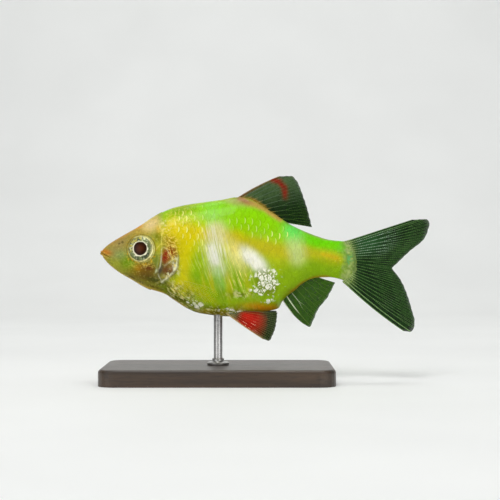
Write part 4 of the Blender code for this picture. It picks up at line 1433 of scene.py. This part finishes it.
def fish_material(name, scaled):
    """Wet skin: its markings, fine mottling, silver flecks and, on scales, lines, a painted highlight near
    the rear edge and painted shade.
    """
    material, tree, shader = new_material(
        name, Coat_Weight=0.12, Coat_Roughness=0.08, Specular_IOR_Level=0.04,
    )
    where = millimetres(tree)
    tint = attribute(tree, "tint", "Color")
    low, high = (0.93, 1.06) if scaled else (0.84, 1.14)
    mottle = mapped(tree, noise(tree, where, 1.9, 4, 0.62), 0.3, 0.7, low, high)
    colour = mixed(tree, 1.0, tint, mottle, "MULTIPLY")
    fine = noise(tree, where, 5.0 if scaled else 2.6, 4, 0.65)
    light, dark = (0.2, 0.22) if scaled else (0.34, 0.5)
    colour = mixed(tree, mapped(tree, fine, 0.56, 0.7, 0, light), colour, (0.8, 0.76, 0.16, 1))
    colour = mixed(tree, mapped(tree, fine, 0.44, 0.3, 0, dark), colour, (0.12, 0.14, 0.0, 1))
    lines = streaked(tree, where, 20, 4.4)
    gaps = mapped(tree, noise(tree, where, 0.9, 2), 0.4, 0.6, 0.35, 1.0)
    yellow = number(tree, "MULTIPLY", mapped(tree, lines, 0.53, 0.6, 0, 0.95), gaps)
    yellow = number(tree, "MULTIPLY", yellow, attribute(tree, "streak"))
    colour = mixed(tree, yellow, colour, (0.92, 0.84, 0.2, 1))
    lines = streaked(tree, where, 13, 5.0)
    bar = attribute(tree, "bar")
    pale = number(tree, "MULTIPLY", mapped(tree, lines, 0.5, 0.62, 0, 0.6), bar)
    colour = mixed(tree, pale, colour, (0.9, 0.9, 0.8, 1))
    deep = number(tree, "MULTIPLY", mapped(tree, lines, 0.46, 0.36, 0, 0.35), bar)
    colour = mixed(tree, deep, colour, (0.4, 0.44, 0.06, 1))
    colour = netted(tree, where, colour)
    colour, flakes = silvered(tree, where, colour)
    rough = mapped(tree, noise(tree, where, 3.1, 2), 0.3, 0.7, 0.28, 0.44)
    normal = bump(tree, noise(tree, where, 9.0, 3, 0.6), 0.015, 0.5)
    normal = bump(tree, flakes, 0.03, 0.4, normal)
    if scaled:
        colour, normal = scale_finish(tree, colour, normal)
    tree.links.new(colour, shader.inputs["Base Color"])
    tree.links.new(rough, shader.inputs["Roughness"])
    tree.links.new(number(tree, "MULTIPLY", flakes, 0.15), shader.inputs["Metallic"])
    tree.links.new(normal, shader.inputs["Normal"])
    return material


def sheet_material(name):
    """A thin clear membrane with fine streaks."""
    material, tree, shader = new_material(
        name, Coat_Weight=0.08, Coat_Roughness=0.12, Specular_IOR_Level=0.06,
    )
    where = millimetres(tree)
    streaks = noise(tree, where, 1.8, 3, 0.6)
    share = mapped(tree, streaks, 0.3, 0.7, 0.84, 1.18)
    colour = mixed(tree, 1.0, attribute(tree, "tint", "Color"), share, "MULTIPLY")
    tree.links.new(colour, shader.inputs["Base Color"])
    solid = number(tree, "MULTIPLY", attribute(tree, "cover"), mapped(tree, streaks, 0.3, 0.7, 0.97, 1.03))
    tree.links.new(solid, shader.inputs["Alpha"])
    tree.links.new(mapped(tree, streaks, 0.3, 0.7, 0.22, 0.4), shader.inputs["Roughness"])
    tree.links.new(bump(tree, noise(tree, where, 5.0, 3), 0.01, 0.4), shader.inputs["Normal"])
    return material


def ray_material(name):
    """Pale bony rays."""
    material, tree, shader = new_material(
        name, Coat_Weight=0.1, Coat_Roughness=0.15, Specular_IOR_Level=0.1,
    )
    where = millimetres(tree)
    share = mapped(tree, noise(tree, where, 4.0, 3, 0.6), 0.3, 0.7, 0.8, 1.18)
    colour = mixed(tree, 1.0, attribute(tree, "tint", "Color"), share, "MULTIPLY")
    tree.links.new(colour, shader.inputs["Base Color"])
    tree.links.new(mapped(tree, noise(tree, where, 2.0), 0.3, 0.7, 0.3, 0.5), shader.inputs["Roughness"])
    return material


def eye_material():
    """A wet eye: flecked rings round a dark pupil."""
    material, tree, shader = new_material(
        "eye_finish", Roughness=0.3, Coat_Weight=0.12, Coat_Roughness=0.02, Specular_IOR_Level=0.08,
    )
    where = millimetres(tree)
    share = mapped(tree, noise(tree, where, 5.0, 4, 0.65), 0.3, 0.7, 0.72, 1.25)
    iris = attribute(tree, "iris")
    share = mixed(tree, iris, (1, 1, 1, 1), share)
    colour = mixed(tree, 1.0, attribute(tree, "tint", "Color"), share, "MULTIPLY")
    flecks = number(tree, "MULTIPLY", sparkle(tree, where, 4.2, 0.7, 0.9), iris)
    colour = mixed(tree, number(tree, "MULTIPLY", flecks, 0.7), colour, (0.8, 0.82, 0.6, 1))
    tree.links.new(colour, shader.inputs["Base Color"])
    tree.links.new(number(tree, "MULTIPLY", iris, 0.25), shader.inputs["Metallic"])
    tree.links.new(bump(tree, noise(tree, where, 6.0, 3), 0.012, 0.35), shader.inputs["Normal"])
    return material


def wood_material():
    """Dark stained wood with a fine straight grain and a satin finish."""
    material, tree, shader = new_material("stand_wood", Coat_Weight=0.25, Coat_Roughness=0.25)
    where = millimetres(tree)
    stretched = stretch(tree, where, (0.09, 1.1, 0.9))
    pores = noise(tree, stretched, 4.5, 4, 0.7)
    bands = mapped(tree, noise(tree, stretch(tree, where, (0.022, 0.5, 0.4)), 1.0, 6, 0.62), 0.36, 0.64, 0, 1)
    colour = mixed(tree, bands, (0.032, 0.019, 0.011, 1), (0.078, 0.045, 0.024, 1))
    colour = mixed(tree, mapped(tree, pores, 0.5, 0.75, 0, 0.7), colour, (0.016, 0.01, 0.007, 1))
    tree.links.new(colour, shader.inputs["Base Color"])
    tree.links.new(mapped(tree, pores, 0.3, 0.7, 0.34, 0.5), shader.inputs["Roughness"])
    tree.links.new(bump(tree, pores, 0.04, 0.35), shader.inputs["Normal"])
    return material


def steel_material():
    """Brushed steel, with fine scratches round the rod."""
    material, tree, shader = new_material("stand_steel", Metallic=1.0)
    where = millimetres(tree)
    stretched = stretch(tree, where, (0.6, 0.6, 22.0))
    scratches = noise(tree, stretched, 1.0, 3, 0.6)
    colour = mixed(tree, scratches, (0.42, 0.42, 0.41, 1), (0.66, 0.65, 0.63, 1))
    tree.links.new(colour, shader.inputs["Base Color"])
    tree.links.new(mapped(tree, scratches, 0.3, 0.7, 0.22, 0.4), shader.inputs["Roughness"])
    tree.links.new(bump(tree, scratches, 0.01, 0.3), shader.inputs["Normal"])
    return material


def floor_material():
    material, tree, shader = new_material("pale_floor", Roughness=0.7)
    where = millimetres(tree)
    share = mapped(tree, noise(tree, where, 0.02, 2), 0.3, 0.7, 0.96, 1.0)
    colour = mixed(tree, 1.0, (0.93, 0.94, 0.92, 1), share, "MULTIPLY")
    tree.links.new(colour, shader.inputs["Base Color"])
    return material


def wear(obj, material):
    obj.data.materials.clear()
    obj.data.materials.append(material)


# Eyes


def eye_rings(out, points):
    """Colours of the eye from its centre out, and where the flecked iris is."""
    waver = 0.1 * (grain(points, 0.5, 71) - 0.5)
    away = out + waver
    pupil = linear((44, 18, 2))
    heart = linear((80, 36, 8))
    colours = heart + (pupil - heart) * step_of(away, 0.3, 1.0)[:, None]
    pale = step_of(away, PUPIL_RADIUS - 0.05, PUPIL_RADIUS + 0.03)
    colours = blended(colours, (244, 238, 206), pale)
    left = step_of(-points[:, 0] - 0.3 * points[:, 2], 0.0, 1.2)
    ring = PUPIL_RADIUS + 0.07 + 0.07 * left + 0.15 * step_of(grain(points, 0.45, 74), 0.5, 0.75)
    grey = step_of(away, ring, ring + 0.12)
    colours = blended(colours, (118, 130, 84), grey)
    patches = step_of(grain(points, 0.55, 73), 0.4, 0.62)
    colours = blended(colours, (60, 70, 48), grey * patches * 0.9)
    front = step_of(-points[:, 0] + points[:, 2], -1.0, 2.4)
    flecks = step_of(grain(points, 0.24, 75), 0.7 - 0.16 * front, 0.84 - 0.16 * front)
    colours = blended(colours, (206, 212, 164), grey * flecks * 0.85)
    gold = step_of(points[:, 2] - points[:, 0], 0.7, 2.2) * step_of(grain(points, 0.28, 72), 0.38, 0.58)
    colours = blended(colours, (204, 190, 70), grey * gold * 0.75)
    right = step_of(points[:, 0], 0.3, 1.9)
    rim = step_of(away, IRIS_RADIUS - 0.05 - 0.14 * right, IRIS_RADIUS + 0.04 - 0.14 * right)
    bright = 0.6 + 0.4 * step_of(grain(points, 0.6, 77), 0.3, 0.6)
    colours = blended(colours, (206, 194, 96), rim)
    specks = step_of(grain(points, 0.2, 79), 0.46, 0.62)
    colours = blended(colours, (104, 92, 36), rim * specks * 0.85)
    behind = 0.6 + 0.4 * step_of(points[:, 0] + 0.6 * points[:, 2], -1.5, 1.5)
    thin = bump_of(away - IRIS_RADIUS - 0.13 + 0.08 * right, 0.09 + 0.09 * right)
    colours = blended(colours, (254, 250, 190), thin * bright * behind)
    dark = bump_of(away - IRIS_RADIUS + 0.05, 0.05)
    colours = blended(colours, (62, 66, 30), dark * 0.8)
    return colours, grey * (1 - rim)


def make_eye(name, side):
    """A domed eye with its pupil a little forward and up of the middle."""
    rings = 56
    sides = 128
    points = [(0.0, 0.0, 0.0)]
    shares = np.linspace(0, 1, rings + 1)[1:]
    turns = np.linspace(0, 2 * math.pi, sides, endpoint=False)
    radius = EYE_RADIUS * 0.985
    for share in shares:
        out = radius * share
        for turn in turns:
            points.append((out * math.cos(turn), out, out * math.sin(turn)))
    points = np.array(points)
    out = points[:, 1].copy()
    dome = 0.5 * np.sqrt(np.clip(1 - (out / (radius * 1.02)) ** 2, 0, 1))
    local = points.copy()
    local[:, 1] = -dome
    off_pupil = np.hypot(local[:, 0] - PUPIL_AT[0], local[:, 2] - PUPIL_AT[1])
    lens = 0.06 * np.sqrt(np.clip(1 - (off_pupil / PUPIL_RADIUS) ** 2, 0, 1))
    ridge = 0.025 * bump_of(off_pupil - PUPIL_RADIUS - 0.14, 0.12)
    local[:, 1] -= lens + ridge
    turned = Matrix.Rotation(-EYE_TURN_FORWARD, 3, "Z") @ Matrix.Rotation(-EYE_TURN_UP, 3, "X")
    turned = np.array(turned)
    front = local @ turned.T
    back = local.copy()
    back[:, 1] = 0.95 * np.sqrt(np.clip(1 - (out / (radius * 1.02)) ** 2, 0, 1))
    back = back @ turned.T
    centre = np.array([EYE_AT[0], EYE_SIDE, EYE_AT[1]])
    count = len(points)
    faces = []
    for k in range(sides):
        after = (k + 1) % sides
        faces.append((0, 1 + k, 1 + after))
        faces.append((count, count + 1 + after, count + 1 + k))
    for face in grid_faces(rings, sides, 1, True):
        faces.append(face)
        faces.append(tuple(c + count for c in face[::-1]))
    last = 1 + (rings - 1) * sides
    for k in range(sides):
        after = (k + 1) % sides
        faces.append((last + k, last + k + count, last + after + count, last + after))
    both = np.concatenate([front, back]) + centre
    colours, iris = eye_rings(np.tile(off_pupil, 2), np.tile(local, (2, 1)))
    if side > 0:
        both[:, 1] *= -1
        faces = [face[::-1] for face in faces]
    eye = mesh_object(name, both, faces)
    give_colours(eye, "tint", colours)
    give_values(eye, "iris", iris)
    return eye


# Stand


def lathe(name, profile, centre, sides=48):
    """A round piece from a profile of radius and height, in millimetres of the frame."""
    work = bmesh.new()
    rings = []
    for radius, height in profile:
        ring = []
        for k in range(sides):
            turn = 2 * math.pi * k / sides
            where = Vector((centre + radius * math.cos(turn), radius * math.sin(turn), height))
            ring.append(work.verts.new(where * MM))
        rings.append(ring)
    for ring, following in zip(rings, rings[1:]):
        for k in range(sides):
            after = (k + 1) % sides
            work.faces.new((ring[k], ring[after], following[after], following[k]))
    work.faces.new(rings[0])
    work.faces.new(rings[-1])
    bmesh.ops.recalc_face_normals(work, faces=work.faces)
    mesh = bpy.data.meshes.new(name)
    work.to_mesh(mesh)
    work.free()
    mesh.shade_smooth()
    mesh.set_sharp_from_angle(angle=math.radians(35))
    obj = bpy.data.objects.new(name, mesh)
    bpy.context.scene.collection.objects.link(obj)
    return obj


def make_rod():
    """The rod from its hole in the base up into the belly, with a small collar where it leaves the base."""
    low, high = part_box("stand_rod")
    base_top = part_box("stand_base")[1][2] / MM
    middle = (low[0] + high[0]) / 2 / MM
    radius = (high[0] - low[0]) / 2 / MM
    belly = AXIS_Z + float(belly_height(middle - SNOUT_X))
    rod = lathe("rod", [
        (radius - 0.1, low[2] / MM), (radius, low[2] / MM + 0.1), (radius, belly + 0.45),
        (radius - 0.1, belly + 0.6),
    ], middle)
    collar = lathe("rod_collar", [
        (radius + 0.02, base_top + 0.02), (radius + 1.15, base_top + 0.02), (radius + 1.2, base_top + 0.1),
        (radius + 1.2, base_top + 0.42), (radius + 1.05, base_top + 0.55), (radius + 0.45, base_top + 0.62),
        (radius + 0.3, base_top + 0.75), (radius + 0.3, base_top + 1.15), (radius + 0.2, base_top + 1.25),
        (radius + 0.02, base_top + 1.25),
    ], middle)
    return rod, collar


# Light, floor and camera


def make_stage():
    """A pale floor that sweeps up behind the fish."""
    work = bmesh.new()
    rows = []
    profile = [(-0.9, 0.0), (0.22, 0.0)]
    for turn in np.linspace(0, math.pi / 2, 24)[1:]:
        profile.append((0.22 + 0.25 * math.sin(turn), 0.25 * (1 - math.cos(turn))))
    profile.append((0.47, 1.2))
    for y, z in profile:
        rows.append([work.verts.new((x, y, z)) for x in (-1.6, 1.6)])
    for row, following in zip(rows, rows[1:]):
        work.faces.new((row[0], row[1], following[1], following[0]))
    mesh = bpy.data.meshes.new("floor_sweep")
    work.to_mesh(mesh)
    work.free()
    mesh.shade_smooth()
    floor = bpy.data.objects.new("floor_sweep", mesh)
    bpy.context.scene.collection.objects.link(floor)
    wear(floor, floor_material())


def area_light(name, place, target, size, power, colour=(1, 1, 1)):
    data = bpy.data.lights.new(name, "AREA")
    data.shape = "DISK"
    data.size = size
    data.energy = power
    data.color = colour
    lamp = bpy.data.objects.new(name, data)
    bpy.context.scene.collection.objects.link(lamp)
    lamp.location = place
    lamp.rotation_euler = (Vector(target) - Vector(place)).to_track_quat("-Z", "Y").to_euler()


def light_scene():
    target = (-0.002, 0, 0.024)
    area_light("key_light", (-0.08, -0.27, 0.38), target, 0.2, 0.82)
    area_light("fill_light", (0.24, -0.38, 0.06), target, 0.3, 0.42)
    area_light("front_light", (-0.3, -0.34, 0.06), target, 0.3, 0.36)
    area_light("top_light", (0.03, 0.08, 0.42), target, 0.26, 0.3)
    area_light("back_light", (0.0, 0.12, 0.6), (0, 0.5, 0.1), 0.4, 1.2)
    world = bpy.data.worlds.new("studio")
    world.use_nodes = True
    back = world.node_tree.nodes["Background"]
    back.inputs["Color"].default_value = (0.95, 0.97, 1.0, 1)
    back.inputs["Strength"].default_value = 0.2
    bpy.context.scene.world = world
    bpy.context.scene.view_settings.view_transform = "Standard"


def make_camera():
    """Level with the middle of the fish and square to its left side, as the photo sees it."""
    data = bpy.data.cameras.new("camera")
    data.lens = 100
    data.sensor_width = 36
    data.clip_start = 0.001
    camera = bpy.data.objects.new("camera", data)
    bpy.context.scene.collection.objects.link(camera)
    camera.location = (-0.00277, -0.254, 0.024)
    camera.rotation_euler = (math.pi / 2, 0, 0)
    bpy.context.scene.camera = camera


def set_down(obj, finish, slot, *nodes):
    """Finishes a piece: its material, the body it rides on and the nodes it stands for, which it hides. The
    slot is not used.
    """
    wear(obj, finish)
    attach(obj, "root")
    if nodes:
        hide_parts(*nodes)


def fin_plan(first_heavy, unbranched, fork, forks=2):
    """How each ray branches: the leading ones stay single and are thicker."""

    def plan(index):
        if index < unbranched:
            return None, 0, first_heavy if index == unbranched - 1 else 1.0
        return fork, forks, 1.0

    return plan


def make_fins():
    sheet = sheet_material("fin_sheet")
    bone = ray_material("fin_ray")
    dorsal = Fin(
        sunk_line((24.0, 8.85), 33.0, back_height, -1),
        flat([
            (32.7, 13.5), (34.8, 13.55), (35.7, 12.85), (36.6, 10.9), (37.4, 8.7), (38.0, 6.6),
            (38.6, 4.2),
        ]),
        -0.3,
    )
    anal = Fin(
        sunk_line((32.7, -8.05), 38.6, belly_height, 1),
        flat([
            (37.2, -13.6), (38.1, -14.1), (38.8, -12.95), (39.7, -10.9), (41.5, -8.6), (42.8, -6.0),
        ]),
        0.45,
    )
    upper = Fin(
        flat([(44.5, 1.45), (45.2, 0.2), (45.5, -2.2)]),
        flat([
            (57.0, 5.55), (59.4, 5.65), (60.1, 4.95), (59.8, 3.6), (59.2, 2.2), (56.5, -0.2),
            (53.2, -3.33),
        ]),
        0.0,
    )
    lower = Fin(
        flat([(44.2, -5.7), (45.2, -4.6), (45.5, -2.2)]),
        flat([
            (55.4, -14.85), (56.5, -15.0), (57.2, -14.4), (57.4, -13.1), (56.9, -11.1),
            (56.3, -9.0), (55.0, -5.8), (53.2, -3.33),
        ]),
        0.35,
    )
    pelvic = Fin(
        [(22.8, -1.0, -11.4), (24.1, -1.1, -11.3), (25.4, -1.1, -11.1)],
        [
            (29.7, -3.3, -16.1), (30.7, -3.5, -16.4), (31.3, -3.5, -15.5), (32.0, -3.6, -13.2),
            (32.2, -3.3, -11.3),
        ],
        0.1, -0.25,
    )
    pectoral = Fin(
        [(13.8, -2.6, -5.3), (13.7, -2.5, -5.9), (13.5, -2.3, -6.5)],
        [
            (20.9, -5.6, -7.1), (21.6, -5.6, -7.9), (21.0, -5.3, -9.1), (19.4, -4.9, -9.8),
            (17.2, -4.3, -9.9),
        ],
        -0.2, -0.3,
    )
    for name, fin, rays, plan, colours, ray_colours, slot, sides in (
        ("dorsal_fin", dorsal, 11, fin_plan(1.7, 2, 0.42), dorsal_sheet, dorsal_ray, "clear_fin", (-1,)),
        ("anal_fin", anal, 8, fin_plan(1.6, 2, 0.42), anal_sheet, anal_ray, "clear_fin", (-1,)),
        ("tail_fin_upper", upper, 12, fin_plan(1.5, 2, 0.34), tail_sheet, tail_ray, "clear_fin", (-1,)),
        ("tail_fin_lower", lower, 12, fin_plan(1.5, 2, 0.34), tail_sheet, tail_ray, "clear_fin", (-1,)),
        ("pelvic_fin", pelvic, 9, fin_plan(1.3, 1, 0.45), pelvic_sheet, pelvic_ray, "red_fin", (-1, 1)),
        (
            "pectoral_fin", pectoral, 14, fin_plan(1.1, 1, 0.5, 1), pectoral_sheet, pectoral_ray,
            "pale_fin", (-1, 1),
        ),
    ):
        for side in sides:
            full = name
            if len(sides) > 1:
                full = name + ("_left" if side < 0 else "_right")
            made = make_membrane(
                full + "_sheet", fin, rays, 12 * (rays - 1) + 1, 60, colours, 3 + len(name), side
            )
            set_down(made, sheet, slot, full)
            wide = 0.024 if name == "pectoral_fin" else 0.095
            made = make_rays(
                full + "_rays", fin, rays, plan, ray_colours, 3 + len(name), side, wide
            )
            set_down(made, bone, slot)


def main():
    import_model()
    make_camera()
    light_scene()
    make_stage()
    skin = make_skin()
    set_down(
        skin, fish_material("fish_skin", False), "skin_trunk",
        "head", "trunk", "tail_stalk", "gill_cover_left", "gill_cover_right",
    )
    wrap = Wrap()
    coat = fish_material("fish_scales", True)
    for name, side in (("scales_left", -1), ("scales_right", 1)):
        set_down(make_scales(name, side, wrap), coat, "skin_trunk")
    finish = eye_material()
    for name, side in (("left", -1), ("right", 1)):
        set_down(make_eye("eyeball_" + name, side), finish, "eye", "eye_" + name)
    make_fins()
    rod, collar = make_rod()
    steel = steel_material()
    set_down(rod, steel, "stand_rod", "stand_rod")
    set_down(collar, steel, "stand_rod")
    wear(bpy.data.objects["stand_base"], wood_material())


main()
